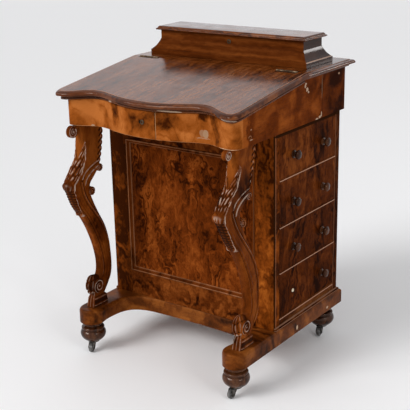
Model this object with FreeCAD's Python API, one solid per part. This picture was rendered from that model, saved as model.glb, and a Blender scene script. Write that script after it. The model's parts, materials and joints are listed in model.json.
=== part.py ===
import FreeCAD, Part
import math
import os

# A davenport desk: a side-drawer pedestal on a shaped plinth with bun feet and castors, two carved
# scroll legs, a serpentine writing box with a hinged slope, and a hinged stationery box on top.
# Millimetres. X runs to the right, Y to the back, Z up. The origin is on the floor, under the
# middle of the desk's outer box.

V = FreeCAD.Vector

# Heights, from the floor up
castor_height = 30.0            # floor to the underside of a foot
foot_height = 56.0
plinth_height = 41.0
case_height = 514.0
box_height = 115.0              # underside of the writing box to the underside of its flat top
top_thickness = 18.0
stationery_height = 65.3
stationery_lid_thickness = 10.4   # the lid rests one running gap above the box

# Clearances between pieces that move and what carries them
running_gap = 0.3
drawer_gap = 0.8
pin_clearance = 0.05
joint_gap = 1.0                 # between the slope and the flat top, at the hinge
overcut = 1.0                   # how far a cutting solid runs past the face that it opens

# Pedestal
case_width = 524.4
case_depth = 328.6
front_post_width = 56.0
front_post_depth = 25.8
rear_post_width = 40.0
rear_post_depth = 22.8
front_bottom_rail_height = 69.5
front_top_rail_height = 66.0
front_rail_depth = 20.0
panel_thickness = 9.0
panel_setback = 5.0
panel_moulding_width = 12.0
panel_moulding_proud = 2.5
back_panel_thickness = 12.0
side_panel_thickness = 12.0
dust_board_thickness = 8.0
base_moulding_width = 6.0
base_moulding_height = 8.0

# Drawers, four in the right side of the pedestal, with dummies in the left side
drawer_count = 4
bottom_rail_height = 24.8
bead_rail_height = 5.0
bead_rail_depth = 40.0
bead_proud = 2.0
drawer_front_thickness = 18.0
drawer_length = 440.0
drawer_side_thickness = 9.0
drawer_bottom_thickness = 5.0
drawer_bottom_rise = 6.0
runner_width = 14.0
dummy_front_thickness = 4.0

# Turned knobs
knob_spacing = 148.0
knob_drop = 6.0                 # below the middle of a drawer front
knob_length = 20.0
knob_collar_radius = 10.5
knob_head_radius = 12.0
knob_neck_radius = 6.0
knob_tenon_radius = 5.0
knob_tenon_length = 14.0
broken_tenon_proud = 1.5

# Plinth
plinth_side_margin = 9.3
plinth_rear_margin = 14.4
plinth_lobe_radius = 34.0
plinth_lobe_reach = 172.0       # case front to the front of a lobe
plinth_edge_round = 6.0
plinth_hollow_bow = 3.5         # how far the hollow's line comes forward on its way to a lobe

# Feet and castors
foot_radius = 35.0
rear_foot_inset = 52.0          # plinth rear to the axis of a rear foot
castor_cup_radius = 16.0
castor_cup_height = 3.7
castor_trail = 18.0
castor_wheel_radius = 12.0
castor_wheel_width = 11.0
castor_cheek_thickness = 2.0
castor_cheek_gap = 0.6
castor_crown_radius = 11.0
castor_crown_thickness = 2.4
castor_pintle_radius = 3.0
castor_axle_radius = 1.8
castor_rivet_proud = 1.0        # axle ends past the cheeks
castor_head_height = 2.0        # the pintle's headed end, under the crown
castor_angles = {"front_left": -70.0, "front_right": -100.0, "rear_left": -97.0, "rear_right": -80.0}

# Scroll legs
leg_thickness = 30.0
leg_side_inset = 7.2            # case side to the outer face of a leg
knee_reach = 208.0              # case front to the foremost point of a leg
leg_volute_radius = 16.0
leg_volute_width = 14.0
leg_ribbon_height = 9.0
leg_scroll_radius = 11.0
foot_volute_radius = 20.0
leg_base_height = 22.0
scroll_relief = 2.0
top_volute_reach = 0.8125       # share of the knee's reach

# Writing box
box_side_overhang = 1.0
box_rear_overhang = 22.2
box_wall = 16.0
box_floor_thickness = 10.0
box_side_reach = 135.0          # case front to the start of the rounded front corner
box_lobe_reach = 164.0
box_lobe_inset = 20.0
box_valley_reach = 142.5
box_valley_x = 168.0
box_crest_reach = 176.0
partition_thickness = 12.0

# Flat top and slope
top_side_overhang = 19.7
top_rear_overhang = 19.8
slope_setback = 130.0           # case front to the hinge line
slope_angle = 7.8
slope_thickness = 18.0
slope_bead_height = 6.0
slope_side_reach = 152.0
slope_lobe_reach = 192.0
slope_lobe_inset = 24.0
slope_valley_reach = 159.5
slope_valley_x = 163.0
slope_crest_reach = 189.0
edge_round_width = 11.0
edge_round_height = 7.0
edge_lip = 3.0
edge_cove_width = 13.0

# Pen drawer, in the right side behind the slope's well
pen_front_setback = 226.0       # case front to the front edge of the pen drawer
pen_tray_length = 210.0
pen_tray_height = 48.0
pen_tray_wall = 6.0
pen_guide_thickness = 8.0

# Stationery box
stationery_setback = 175.0      # case front to its front edge
stationery_depth = 134.0
stationery_width = 496.0
stationery_plinth_height = 14.0
stationery_neck_inset = 21.0
stationery_cove_height = 28.0
stationery_wall = 9.0
stationery_floor_thickness = 8.0
stationery_lid_overhang = 10.5
stationery_lid_bevel = 7.2
stationery_lid_edge = 4.5
stationery_divider_thickness = 5.0

# Brass fittings
hinge_length = 62.0
hinge_leaf_width = 11.0
small_leaf_width = 7.0          # on the stationery box
hinge_leaf_thickness = 1.2
hinge_knuckle_radius = 2.4
hinge_pin_radius = 1.0
hinge_knuckle_gap = 0.2
slope_hinge_x = 219.0
stationery_hinge_x = 150.0
lock_plate_width = 34.0
lock_plate_height = 26.0
lock_plate_thickness = 3.0
lock_plate_proud = 1.0
keyhole_radius = 2.5
escutcheon_radius = 6.0
escutcheon_thickness = 1.0
slope_keyhole_drop = 27.0       # top of the front board to the keyhole
stationery_keyhole_drop = 17.0  # rim to the keyhole

# Levels
plinth_base = castor_height + foot_height
case_base = plinth_base + plinth_height
box_base = case_base + case_height
top_base = box_base + box_height
desk_top = top_base + top_thickness
rim = desk_top + stationery_height

# Plan lines
case_half = case_width / 2
box_half = case_half + box_side_overhang
top_half = box_half + top_side_overhang
plinth_half = case_half + plinth_side_margin
case_front = (knee_reach - case_depth - box_rear_overhang - top_rear_overhang) / 2
case_rear = case_front + case_depth
box_rear = case_rear + box_rear_overhang
top_rear = box_rear + top_rear_overhang
plinth_rear = case_rear + plinth_rear_margin
hinge_y = case_front + slope_setback
box_joint_y = case_front - box_side_reach + joint_gap
partition_front = case_front + pen_front_setback - partition_thickness
floor_top = box_base + box_floor_thickness

# Drawer openings
opening_height = (case_height - bottom_rail_height) / drawer_count - bead_rail_height
drawer_pitch = opening_height + bead_rail_height
opening_front = case_front + front_post_depth
opening_rear = case_rear - rear_post_depth
opening_middle = (opening_front + opening_rear) / 2
opening_bases = [
    case_base + bottom_rail_height + bead_rail_height + i * drawer_pitch
    for i in range(drawer_count)
]

# Feet
lobe_x = plinth_half - plinth_lobe_radius
lobe_y = case_front - plinth_lobe_reach + plinth_lobe_radius
foot_places = {
    "front_left": (-lobe_x, lobe_y),
    "front_right": (lobe_x, lobe_y),
    "rear_left": (-lobe_x, plinth_rear - rear_foot_inset),
    "rear_right": (lobe_x, plinth_rear - rear_foot_inset),
}


def save(name, *solids):
    shape = solids[0] if len(solids) == 1 else Part.makeCompound(list(solids))
    shape.exportStep("parts/%s.step" % name)


def block(x, y, z):
    return Part.makeBox(x[1] - x[0], y[1] - y[0], z[1] - z[0], V(x[0], y[0], z[0]))


def mirrored(shape):
    return shape.mirror(V(0, 0, 0), V(1, 0, 0))


def rod(start, direction, radius, length):
    return Part.makeCylinder(radius, length, V(*start), V(*direction))


def turned(profile):
    # A closed outline of (radius, height) points, turned about Z
    points = [V(r, 0, h) for r, h in profile]
    wire = Part.makePolygon(points + points[:1])
    return Part.Face(wire).revolve(V(0, 0, 0), V(0, 0, 1), 360)


def between(a, b, share):
    return a + (b - a) * share


def bezier_edge(poles):
    curve = Part.BezierCurve()
    curve.setPoles([V(x, y, 0) for x, y in poles])
    return curve.toShape()


def both_halves(right):
    # A chain of curves from the right side to the middle, and its mirror image on to the left side
    left = [[(-x, y) for x, y in reversed(poles)] for poles in reversed(right)]
    return right + left


def inset_chain(edges, inset):
    # The curves moved inwards, square to themselves, and kept joined end to end
    steps = 12
    runs = []
    for edge in edges:
        stops = [between(edge.FirstParameter, edge.LastParameter, i / steps) for i in range(steps + 1)]
        runs.append([(edge.valueAt(u), edge.tangentAt(u)) for u in stops])
    for before, after in zip(runs, runs[1:]):
        shared = (before[-1][1] + after[0][1]).normalize()
        before[-1] = (before[-1][0], shared)
        after[0] = (before[-1][0], shared)
    moved = []
    for run in runs:
        points = [point + V(tangent.y, -tangent.x, 0) * inset for point, tangent in run]
        curve = Part.BSplineCurve()
        curve.interpolate(Points=points, InitialTangent=run[0][1], FinalTangent=run[-1][1])
        moved.append(curve.toShape())
    return moved


def plan_wire(chain, half, rear, z, inset=0.0, rear_inset=0.0):
    # A board's outline: a shaped front from right to left, straight sides and a straight rear
    edges = [bezier_edge(poles) for poles in chain]
    if inset:
        edges = inset_chain(edges, inset)
    right_front = edges[0].valueAt(edges[0].FirstParameter)
    left_front = edges[-1].valueAt(edges[-1].LastParameter)
    left_rear = V(inset - half, rear - rear_inset, 0)
    right_rear = V(half - inset, rear - rear_inset, 0)
    corners = [left_front, left_rear, right_rear, right_front]
    edges += [Part.LineSegment(a, b).toShape() for a, b in zip(corners, corners[1:])]
    wire = Part.Wire(edges)
    wire.translate(V(0, 0, z))
    return wire


def prism(wire, height):
    return Part.Face(wire).extrude(V(0, 0, height))


def stacked(wire_at, steps):
    # A moulded slab: outlines at (height, inset) steps, joined by ruled faces
    return Part.makeLoft([wire_at(z, inset) for z, inset in steps], True, True)


def serpentine(half, side_reach, lobe_inset, lobe_reach, valley_x, valley_reach, crest_reach):
    # Rounded corner, lobe, hollow and swelling middle, from the right side to the left side
    side_y, lobe, valley, crest = (
        case_front - reach for reach in (side_reach, lobe_reach, valley_reach, crest_reach)
    )
    lobe_line = half - lobe_inset
    corner = [
        (half, side_y),
        (half, between(side_y, lobe, 0.62)),
        (between(lobe_line, half, 0.62), lobe),
        (lobe_line, lobe),
    ]
    hollow = [
        (lobe_line, lobe),
        (between(lobe_line, valley_x, 0.4), lobe),
        (between(valley_x, lobe_line, 0.4), valley),
        (valley_x, valley),
    ]
    swell = [(valley_x, valley), (valley_x * 0.75, valley), (valley_x * 0.55, crest), (0, crest)]
    return both_halves([corner, hollow, swell])


def plinth_chain():
    # A round lobe under each leg and a wide hollow for the feet between them
    r = plinth_lobe_radius
    k = 0.5523 * r
    inner = lobe_x - r
    front = lobe_y - r
    outer_quarter = [(plinth_half, lobe_y), (plinth_half, lobe_y - k), (lobe_x + k, front), (lobe_x, front)]
    inner_quarter = [(lobe_x, front), (lobe_x - k, front), (inner, lobe_y - k), (inner, lobe_y)]
    neck_y = between(lobe_y, case_front, 0.56)
    neck = [(inner, lobe_y), (inner, lobe_y + k), (inner + k / 2, lobe_y + k), (inner + k / 6, neck_y)]
    turn_x = inner * 0.62
    turn_y = case_front - plinth_hollow_bow
    turn = [
        (inner + k / 6, neck_y),
        (inner - k / 6, between(neck_y, case_front, 0.5)),
        (inner - k, case_front - 2.3 * plinth_hollow_bow),
        (turn_x, turn_y),
    ]
    middle = [
        (turn_x, turn_y),
        (turn_x * 0.66, between(turn_y, case_front, 0.86)),
        (turn_x / 3, case_front),
        (0, case_front),
    ]
    return both_halves([outer_quarter, inner_quarter, neck, turn, middle])


def make_plinth():
    chain = plinth_chain()

    def wire_at(z, inset):
        return plan_wire(chain, plinth_half, plinth_rear, z, inset, inset)

    e = plinth_edge_round
    return stacked(
        wire_at,
        [(plinth_base, 0), (case_base - e, 0), (case_base - e * 0.4, e * 0.2), (case_base, e * 0.8)],
    )


def make_foot(place):
    # A bun foot: top disc, quirk, two-part bun with a scored line, ring, and a taper to the castor
    r = foot_radius
    h = foot_height
    bun = [
        (0, 0), (castor_cup_radius, 0), (castor_cup_radius + 2, h * 0.12), (r * 0.7, h * 0.26),
        (r * 0.78, h * 0.28), (r * 0.78, h * 0.34), (r * 0.86, h * 0.37), (r * 0.96, h * 0.45),
        (r, h * 0.55), (r * 0.97, h * 0.6), (r * 0.98, h * 0.64), (r * 0.95, h * 0.72),
        (r * 0.85, h * 0.8), (r * 0.72, h * 0.83), (r * 0.72, h * 0.88), (r * 0.82, h * 0.92),
        (r * 0.82, h), (0, h),
    ]
    foot = turned(bun)
    foot.translate(V(place[0], place[1], castor_height))
    return foot


crown_top = castor_height - castor_cup_height - running_gap
crown_base = crown_top - castor_crown_thickness


def make_castor_cup(place):
    # Cup screwed under the foot, with the pintle that the fork turns on, headed over below
    x, y = place
    cup = rod((x, y, castor_height - castor_cup_height), (0, 0, 1), castor_cup_radius, castor_cup_height)
    pintle_base = crown_base - running_gap
    pintle = rod((x, y, pintle_base), (0, 0, 1), castor_pintle_radius, castor_height - pintle_base)
    head = rod(
        (x, y, pintle_base - castor_head_height), (0, 0, 1),
        castor_pintle_radius * 1.5, castor_head_height,
    )
    return cup.fuse([pintle, head]).removeSplitter()


def place_castor(shape, place, angle):
    shape.rotate(V(0, 0, 0), V(0, 0, 1), angle)
    shape.translate(V(place[0], place[1], 0))
    return shape


def make_castor_fork(place, angle):
    # Drawn with the wheel trailing along +X: crown plate, two cheeks and the riveted axle
    inner = castor_wheel_width / 2 + castor_cheek_gap
    outer = inner + castor_cheek_thickness
    crown = rod((0, 0, crown_base), (0, 0, 1), castor_crown_radius, castor_crown_thickness)
    arm = block((0, castor_trail), (-outer, outer), (crown_base, crown_top))
    wheel_room = castor_wheel_radius + castor_cheek_gap
    r = castor_wheel_radius
    arm = arm.cut(rod((castor_trail, -outer, r), (0, 1, 0), wheel_room, 2 * outer))
    cheek_points = [
        V(castor_crown_radius * 0.3, 0, crown_top),
        V(castor_trail, 0, crown_top),
        V(castor_trail + r * 0.42, 0, r * 1.25),
        V(castor_trail + r * 0.33, 0, r * 0.67),
        V(castor_trail - r * 0.33, 0, r * 0.67),
    ]
    cheek_face = Part.Face(Part.makePolygon(cheek_points + cheek_points[:1]))
    near = cheek_face.extrude(V(0, castor_cheek_thickness, 0))
    near.translate(V(0, inner, 0))
    far = cheek_face.extrude(V(0, -castor_cheek_thickness, 0))
    far.translate(V(0, -inner, 0))
    axle_half = outer + castor_rivet_proud
    axle = rod((castor_trail, -axle_half, r), (0, 1, 0), castor_axle_radius, 2 * axle_half)
    hole = rod((0, 0, 0), (0, 0, 1), castor_pintle_radius + pin_clearance, castor_height)
    fork = crown.fuse([arm, near, far, axle]).removeSplitter().cut(hole)
    return place_castor(fork, place, angle)


def make_castor_wheel(place, angle):
    r = castor_wheel_radius
    w = castor_wheel_width / 2
    b = castor_axle_radius + pin_clearance
    half = [(r, w * 0.45), (r * 0.9, w * 0.8), (r * 0.55, w * 0.8), (r * 0.45, w), (b, w)]
    wheel = turned([(radius, -height) for radius, height in reversed(half)] + half)
    wheel.rotate(V(0, 0, 0), V(1, 0, 0), 90)
    wheel.translate(V(castor_trail, 0, r))
    return place_castor(wheel, place, angle)


def make_front_post():
    width = (case_half - front_post_width, case_half)
    return block(width, (case_front, opening_front), (case_base, box_base))


def make_rear_post():
    width = (case_half - rear_post_width, case_half)
    return block(width, (opening_rear, case_rear), (case_base, box_base))


panel_half = case_half - front_post_width
panel_low = case_base + front_bottom_rail_height
panel_high = box_base - front_top_rail_height


def make_front_rails():
    depth = (case_front, case_front + front_rail_depth)
    width = (-panel_half, panel_half)
    return block(width, depth, (case_base, panel_low)), block(width, depth, (panel_high, box_base))


def make_front_panel():
    face = case_front + panel_setback
    return block((-panel_half, panel_half), (face, face + panel_thickness), (panel_low, panel_high))


def make_panel_moulding():
    # A mitred frame that covers the panel's edge: outer step, raised middle, slope to the panel
    w = panel_moulding_width
    face = case_front + panel_setback
    proud = case_front - panel_moulding_proud

    def rectangle(y, inset):
        x = panel_half - inset
        low, high = panel_low + inset, panel_high - inset
        corners = [V(-x, y, low), V(x, y, low), V(x, y, high), V(-x, y, high)]
        return Part.makePolygon(corners + corners[:1])

    outer = [rectangle(face, 0), rectangle(case_front, 0), rectangle(proud, w * 0.25)]
    inner = [rectangle(face, w), rectangle(case_front, w * 0.8), rectangle(proud, w * 0.6)]
    return Part.makeLoft(outer, True, True).cut(Part.makeLoft(inner, True, True))


def make_left_side():
    # One panel with four shallow sinkings for the dummy drawer fronts
    thickness = (-case_half, side_panel_thickness - case_half)
    panel = block(thickness, (opening_front, opening_rear), (case_base, box_base))
    for base in opening_bases:
        depth = (-case_half, dummy_front_thickness - case_half)
        panel = panel.cut(block(depth, (opening_front, opening_rear), (base, base + opening_height)))
    return panel


def bead_rail(low):
    # A thin rail across the drawer side, with a rounded nose that stands proud as a bead
    half_height = bead_rail_height / 2
    nose_x = case_half + bead_proud - half_height
    length = opening_rear - opening_front
    depth = (case_half - bead_rail_depth, nose_x)
    rail = block(depth, (opening_front, opening_rear), (low, low + bead_rail_height))
    nose = rod((nose_x, opening_front, low + half_height), (0, 1, 0), half_height, length)
    return rail.fuse(nose).removeSplitter()


def make_drawer_rails():
    bottom = block(
        (case_half - bead_rail_depth, case_half), (opening_front, opening_rear),
        (case_base + dust_board_thickness, case_base + bottom_rail_height),
    )
    return [bottom] + [bead_rail(base - bead_rail_height) for base in opening_bases]


def make_runners():
    # A bearer each side under every drawer, behind the rails
    bars = []
    x = (side_panel_thickness - case_half, case_half - bead_rail_depth)
    for i, base in enumerate(opening_bases):
        low = base - bead_rail_height if i else case_base + dust_board_thickness
        bars.append(block(x, (opening_front, opening_front + runner_width), (low, base)))
        bars.append(block(x, (opening_rear - runner_width, opening_rear), (low, base)))
    return bars


def make_back_panel():
    half = case_half - rear_post_width
    return block((-half, half), (case_rear - back_panel_thickness, case_rear), (case_base, box_base))


def make_dust_board():
    # Lies on the plinth and closes the case from below
    board = block(
        (side_panel_thickness - case_half, case_half),
        (case_front + front_rail_depth, case_rear - back_panel_thickness),
        (case_base, case_base + dust_board_thickness),
    )
    posts = [make_front_post(), make_rear_post()]
    return board.cut(posts + [mirrored(post) for post in posts])


def make_base_moulding():
    # A quarter-round strip on the plinth, round both sides and the rear of the case
    def rectangle(z, margin):
        x = case_half + margin
        y = case_rear + margin
        corners = [V(-x, case_front, z), V(x, case_front, z), V(x, y, z), V(-x, y, z)]
        return Part.makePolygon(corners + corners[:1])

    w = base_moulding_width
    top = case_base + base_moulding_height
    steps = [(case_base, w), (top - w, w), (top - w * 0.3, w * 0.7), (top, w * 0.15)]
    strip = Part.makeLoft([rectangle(z, margin) for z, margin in steps], True, True)
    return strip.cut(block((-case_half, case_half), (case_front - overcut, case_rear), (0, box_base)))


knob_places = (opening_middle - knob_spacing / 2, opening_middle + knob_spacing / 2)


def knob_height(base):
    return base + opening_height / 2 - knob_drop


def make_knob(x, y, z, side):
    # Turned along X: tenon, collar, neck and a domed head
    t, c, n, h = knob_tenon_radius, knob_collar_radius, knob_neck_radius, knob_head_radius
    length = knob_length
    knob = turned([
        (0, -knob_tenon_length), (t, -knob_tenon_length), (t, 0), (c, 0), (c, 2), (c * 0.8, 3.2), (n, 4.5),
        (n, length * 0.36), (h * 0.7, length * 0.45), (h * 0.95, length * 0.55), (h, length * 0.65),
        (h * 0.93, length * 0.8), (h * 0.7, length * 0.92), (h * 0.35, length * 0.98), (0, length),
    ])
    knob.rotate(V(0, 0, 0), V(0, 1, 0), 90 * side)
    knob.translate(V(x, y, z))
    return knob


def make_drawer_front(base):
    low = base + running_gap
    high = base + opening_height - drawer_gap
    front = block(
        (case_half - drawer_front_thickness, case_half),
        (opening_front + drawer_gap, opening_rear - drawer_gap), (low, high),
    )
    for y in knob_places:
        front = front.cut(rod((0, y, knob_height(base)), (1, 0, 0), knob_tenon_radius, case_width))
    return front


def make_drawer_box(base):
    # Two sides, a back and a bottom, as separate boards
    t = drawer_side_thickness
    near = opening_front + drawer_gap
    far = opening_rear - drawer_gap
    low = base + running_gap
    high = base + opening_height - drawer_gap
    front_x = case_half - drawer_front_thickness
    back_x = case_half - drawer_length
    side_top = high - drawer_bottom_rise
    bottom_low = low + drawer_bottom_rise
    bottom_high = bottom_low + drawer_bottom_thickness
    return [
        block((back_x, front_x), (near, near + t), (low, side_top)),
        block((back_x, front_x), (far - t, far), (low, side_top)),
        block((back_x, back_x + t), (near + t, far - t), (bottom_high, side_top)),
        block((back_x, front_x), (near + t, far - t), (bottom_low, bottom_high)),
    ]


def make_drawer_knobs(base, first):
    z = knob_height(base)
    knobs = [make_knob(case_half, y, z, 1) for y in knob_places]
    if first:
        # The front knob of the bottom drawer is lost, and its broken tenon is left in the hole
        tenon = rod(
            (case_half - knob_tenon_length, knob_places[0], z), (1, 0, 0),
            knob_tenon_radius, knob_tenon_length + broken_tenon_proud,
        )
        knobs[0] = tenon
    return knobs


def make_dummy_fronts():
    # Four false fronts on the left side, each with a bead along its lower edge, and bores for knobs
    fronts = []
    half_bead = bead_rail_height / 2
    length = opening_rear - opening_front
    outside = block((-case_width, -case_half), (opening_front, opening_rear), (0, box_base))
    for base in opening_bases:
        front = block(
            (-case_half, dummy_front_thickness - case_half), (opening_front, opening_rear),
            (base, base + opening_height),
        )
        for y in knob_places:
            start = (-case_width, y, knob_height(base))
            front = front.cut(rod(start, (1, 0, 0), knob_tenon_radius, case_width))
        bead = rod((-case_half, opening_front, base - half_bead), (0, 1, 0), half_bead, length)
        fronts += [front, bead.common(outside)]
    return fronts


def make_dummy_knobs():
    knobs = []
    keep = block((-case_width, dummy_front_thickness - case_half), (case_front, case_rear), (0, box_base))
    for base in opening_bases:
        knobs += [make_knob(-case_half, y, knob_height(base), -1).common(keep) for y in knob_places]
    return knobs


leg_height = box_base - case_base
leg_middle_x = case_half - leg_side_inset - leg_thickness / 2


def leg_point(reach, rise):
    # A place in the leg's side view, as shares of the knee's reach and of the leg's height
    return V(0, case_front - reach * knee_reach, case_base + rise * leg_height)


def spline_edge(points):
    curve = Part.BSplineCurve()
    curve.interpolate([leg_point(*p) for p in points])
    return curve.toShape()


def make_leg():
    # A sawn S-shaped leg. Its front line runs from the top volute over the knee down to the foot,
    # and its back line from the foot up past two small scrolls.
    front_upper = [
        (0.716, 1.0), (0.711, 0.93), (0.702, 0.873), (0.769, 0.808),
        (0.851, 0.779), (0.928, 0.73), (1.0, 0.695),
    ]
    front_lower = [
        (1.0, 0.695), (0.945, 0.64), (0.75, 0.518), (0.644, 0.444),
        (0.548, 0.352), (0.495, 0.278), (0.49, 0.173),
    ]
    foot_front = [
        (0.49, 0.173), (0.6, 0.188), (0.688, 0.172), (0.712, 0.14), (0.69, 0.1), (0.66, 0.07), (0.692, 0.0),
    ]
    sole = [(0.692, 0.0), (0.365, 0.0)]
    back_lower = [
        (0.365, 0.0), (0.4, 0.075), (0.34, 0.115), (0.298, 0.142), (0.274, 0.193), (0.274, 0.263),
        (0.293, 0.342), (0.356, 0.43), (0.462, 0.51), (0.538, 0.574), (0.591, 0.632), (0.582, 0.679),
    ]
    back_upper = [
        (0.582, 0.679), (0.495, 0.714), (0.418, 0.747), (0.365, 0.794), (0.327, 0.877), (0.298, 1.0),
    ]
    crown = [(0.298, 1.0), (0.716, 1.0)]
    edges = [spline_edge(front_upper), spline_edge(front_lower)]
    for line in (foot_front, sole):
        edges += [Part.LineSegment(leg_point(*a), leg_point(*b)).toShape() for a, b in zip(line, line[1:])]
    edges += [spline_edge(back_lower), spline_edge(back_upper)]
    edges.append(Part.LineSegment(leg_point(*crown[0]), leg_point(*crown[1])).toShape())
    body = Part.Face(Part.Wire(edges)).extrude(V(leg_thickness, 0, 0))
    body.translate(V(-leg_thickness / 2, 0, 0))
    wide = leg_thickness + 2 * scroll_relief

    def disc(reach, rise, radius, width):
        centre = leg_point(reach, rise)
        return rod((-width / 2, centre.y, centre.z), (1, 0, 0), radius, width)

    scrolls = [
        disc(top_volute_reach, 1 - leg_volute_radius / leg_height, leg_volute_radius, leg_volute_width),
        disc(0.409, 0.749, leg_scroll_radius, leg_thickness),
        disc(0.582, 0.64, leg_scroll_radius, leg_thickness),
        disc(0.562, 0.115, foot_volute_radius, wide),
    ]
    block_front = leg_point(0.702, 0).y
    block_rear = leg_point(0.365, 0).y
    base = block((-wide / 2, wide / 2), (block_front, block_rear), (case_base, case_base + leg_base_height))
    # The volute's ribbon runs back into the leg just under the writing box
    ribbon = block(
        (-leg_volute_width / 2, leg_volute_width / 2),
        (leg_point(top_volute_reach, 1).y, leg_point(crown[0][0], 1).y),
        (box_base - leg_ribbon_height, box_base),
    )
    leg = body.fuse(scrolls + [base, ribbon]).removeSplitter()
    leg.translate(V(leg_middle_x, 0, 0))
    return leg


box_chain = serpentine(
    box_half, box_side_reach, box_lobe_inset, box_lobe_reach,
    box_valley_x, box_valley_reach, box_crest_reach,
)
slope_chain = serpentine(
    top_half, slope_side_reach, slope_lobe_inset, slope_lobe_reach,
    slope_valley_x, slope_valley_reach, slope_crest_reach,
)
slope_total = slope_thickness + slope_bead_height


def on_slope(shape):
    # From the slope's own frame, where its top is level and its hinge line is X, to its place
    shape.rotate(V(0, 0, 0), V(1, 0, 0), slope_angle)
    shape.translate(V(0, hinge_y, desk_top))
    return shape


def above_slope(depth):
    # All that lies less than this depth under the slope's top face, in front of the hinge line
    reach = 2 * (slope_crest_reach + slope_setback)
    room = on_slope(block((-case_width, case_width), (-reach, top_thickness), (-depth, box_height)))
    return room.common(block((-case_width, case_width), (hinge_y - reach, hinge_y), (0, 2 * desk_top)))


def make_box_front():
    # The serpentine front board, returned round the corners to the sides
    height = desk_top - box_base
    outer = prism(plan_wire(box_chain, box_half, hinge_y, box_base), height)
    inner = prism(plan_wire(box_chain, box_half, hinge_y, box_base, box_wall), height)
    ahead = block((-case_width, case_width), (-case_width, box_joint_y), (0, desk_top))
    front = outer.cut(inner).common(ahead)
    mouth = (0, box_crest_y - overcut, slope_keyhole_z)
    keyhole = rod(mouth, (0, 1, 0), keyhole_radius, box_wall + 2 * overcut)
    return front.cut([above_slope(slope_total + running_gap), keyhole, make_slope_lock_body()])


box_crest_y = case_front - box_crest_reach
slope_front_drop = (slope_setback + box_crest_reach) * math.tan(math.radians(slope_angle))
apron_top = desk_top - slope_front_drop - slope_total / math.cos(math.radians(slope_angle))
slope_keyhole_z = apron_top - slope_keyhole_drop


def make_slope_lock_body():
    # A box lock let into the inner face of the front board
    half_width = lock_plate_width / 2
    half_height = lock_plate_height / 2
    inner = box_crest_y + box_wall
    return block(
        (-half_width, half_width), (inner - lock_plate_thickness, inner + lock_plate_proud),
        (slope_keyhole_z - half_height, slope_keyhole_z + half_height),
    )


def make_escutcheon(face_y, z):
    # A round plate on a front face, with its keyhole
    t = escutcheon_thickness
    plate = rod((0, face_y - t, z), (0, 1, 0), escutcheon_radius, 2 * t)
    return plate.cut(rod((0, -case_width, z), (0, 1, 0), keyhole_radius, 2 * case_width))


def make_slope_escutcheon():
    board = prism(plan_wire(box_chain, box_half, hinge_y, box_base), box_height)
    return make_escutcheon(box_crest_y, slope_keyhole_z).cut(board)


def make_box_side(rear):
    side = block((box_half - box_wall, box_half), (box_joint_y, rear), (box_base, top_base))
    return side.cut(above_slope(slope_total + running_gap))


def make_box_floor():
    outline = plan_wire(box_chain, box_half, box_rear - box_wall, box_base, box_wall)
    return prism(outline, box_floor_thickness)


def make_box_back():
    half = box_half - box_wall
    return block((-half, half), (box_rear - box_wall, box_rear), (box_base, top_base))


def make_partition():
    half = box_half - box_wall
    depth = (partition_front, partition_front + partition_thickness)
    return block((-half, half), depth, (floor_top, top_base))


pen_front_y = case_front + pen_front_setback + running_gap
pen_inner_front = partition_front + partition_thickness + drawer_gap
pen_inner_rear = box_rear - box_wall - drawer_gap
pen_face_x = box_half - box_wall + running_gap
pen_tray_end = box_half - box_wall - pen_tray_length


def make_pen_drawer():
    # A full-height front that is part of the box's side, with a low tray behind it
    front = block(
        (pen_face_x, box_half), (pen_front_y, box_rear),
        (box_base + running_gap, top_base - running_gap),
    )
    low = floor_top + running_gap
    high = low + pen_tray_height
    w = pen_tray_wall
    tray = block((pen_tray_end, pen_face_x), (pen_inner_front, pen_inner_rear), (low, high))
    hollow = block(
        (pen_tray_end + w, pen_face_x), (pen_inner_front + w, pen_inner_rear - w),
        (low + w, high + overcut),
    )
    return front.fuse(tray.cut(hollow)).removeSplitter()


def make_pen_guide():
    # A cross board that stops the tray and ties the partition to the back
    x = pen_tray_end - running_gap
    depth = (partition_front + partition_thickness, box_rear - box_wall)
    return block((x - pen_guide_thickness, x), depth, (floor_top, floor_top + pen_tray_height))


def edge_steps(low, thickness):
    # Height and inset of a moulded edge: cove below, lip, and a rounded nose above
    top = low + thickness
    lip_top = top - edge_round_height
    w = edge_round_width
    h = edge_round_height
    lip_low = lip_top - edge_lip
    return [
        (low, edge_cove_width), (between(low, lip_low, 0.4), edge_cove_width * 0.8),
        (lip_low, edge_lip / 2), (between(lip_low, lip_top, 0.33), 0), (lip_top, 0),
        (lip_top + h * 0.45, w * 0.12), (lip_top + h * 0.8, w * 0.4), (top, w),
    ]


def make_flat_top():
    front = hinge_y + joint_gap / 2

    def wire_at(z, inset):
        x = top_half - inset
        rear = top_rear - inset
        corners = [V(-x, front, z), V(x, front, z), V(x, rear, z), V(-x, rear, z)]
        return Part.makePolygon(corners + corners[:1])

    board = stacked(wire_at, edge_steps(top_base, top_thickness))
    return board.cut([hinge_room(x, True) for x in (-slope_hinge_x, slope_hinge_x)])


def make_slope():
    # Drawn level with its top face at height 0 and its hinge line at Y 0, then tilted to its place
    stretch = 1 / math.cos(math.radians(slope_angle))
    chain = [[(x, (y - hinge_y) * stretch) for x, y in poles] for poles in slope_chain]

    def wire_at(z, inset):
        return plan_wire(chain, top_half, slope_total, z, inset)

    board = stacked(wire_at, edge_steps(-slope_thickness, slope_thickness))
    bead_inset = top_side_overhang - slope_bead_height
    bead = prism(wire_at(-slope_total, bead_inset), slope_bead_height)
    slope = on_slope(board.fuse(bead).removeSplitter())
    behind = block((-case_width, case_width), (hinge_y - joint_gap / 2, case_rear), (0, 2 * desk_top))
    rooms = [hinge_room(x, False) for x in (-slope_hinge_x, slope_hinge_x)]
    return slope.cut([behind] + rooms)


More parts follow.
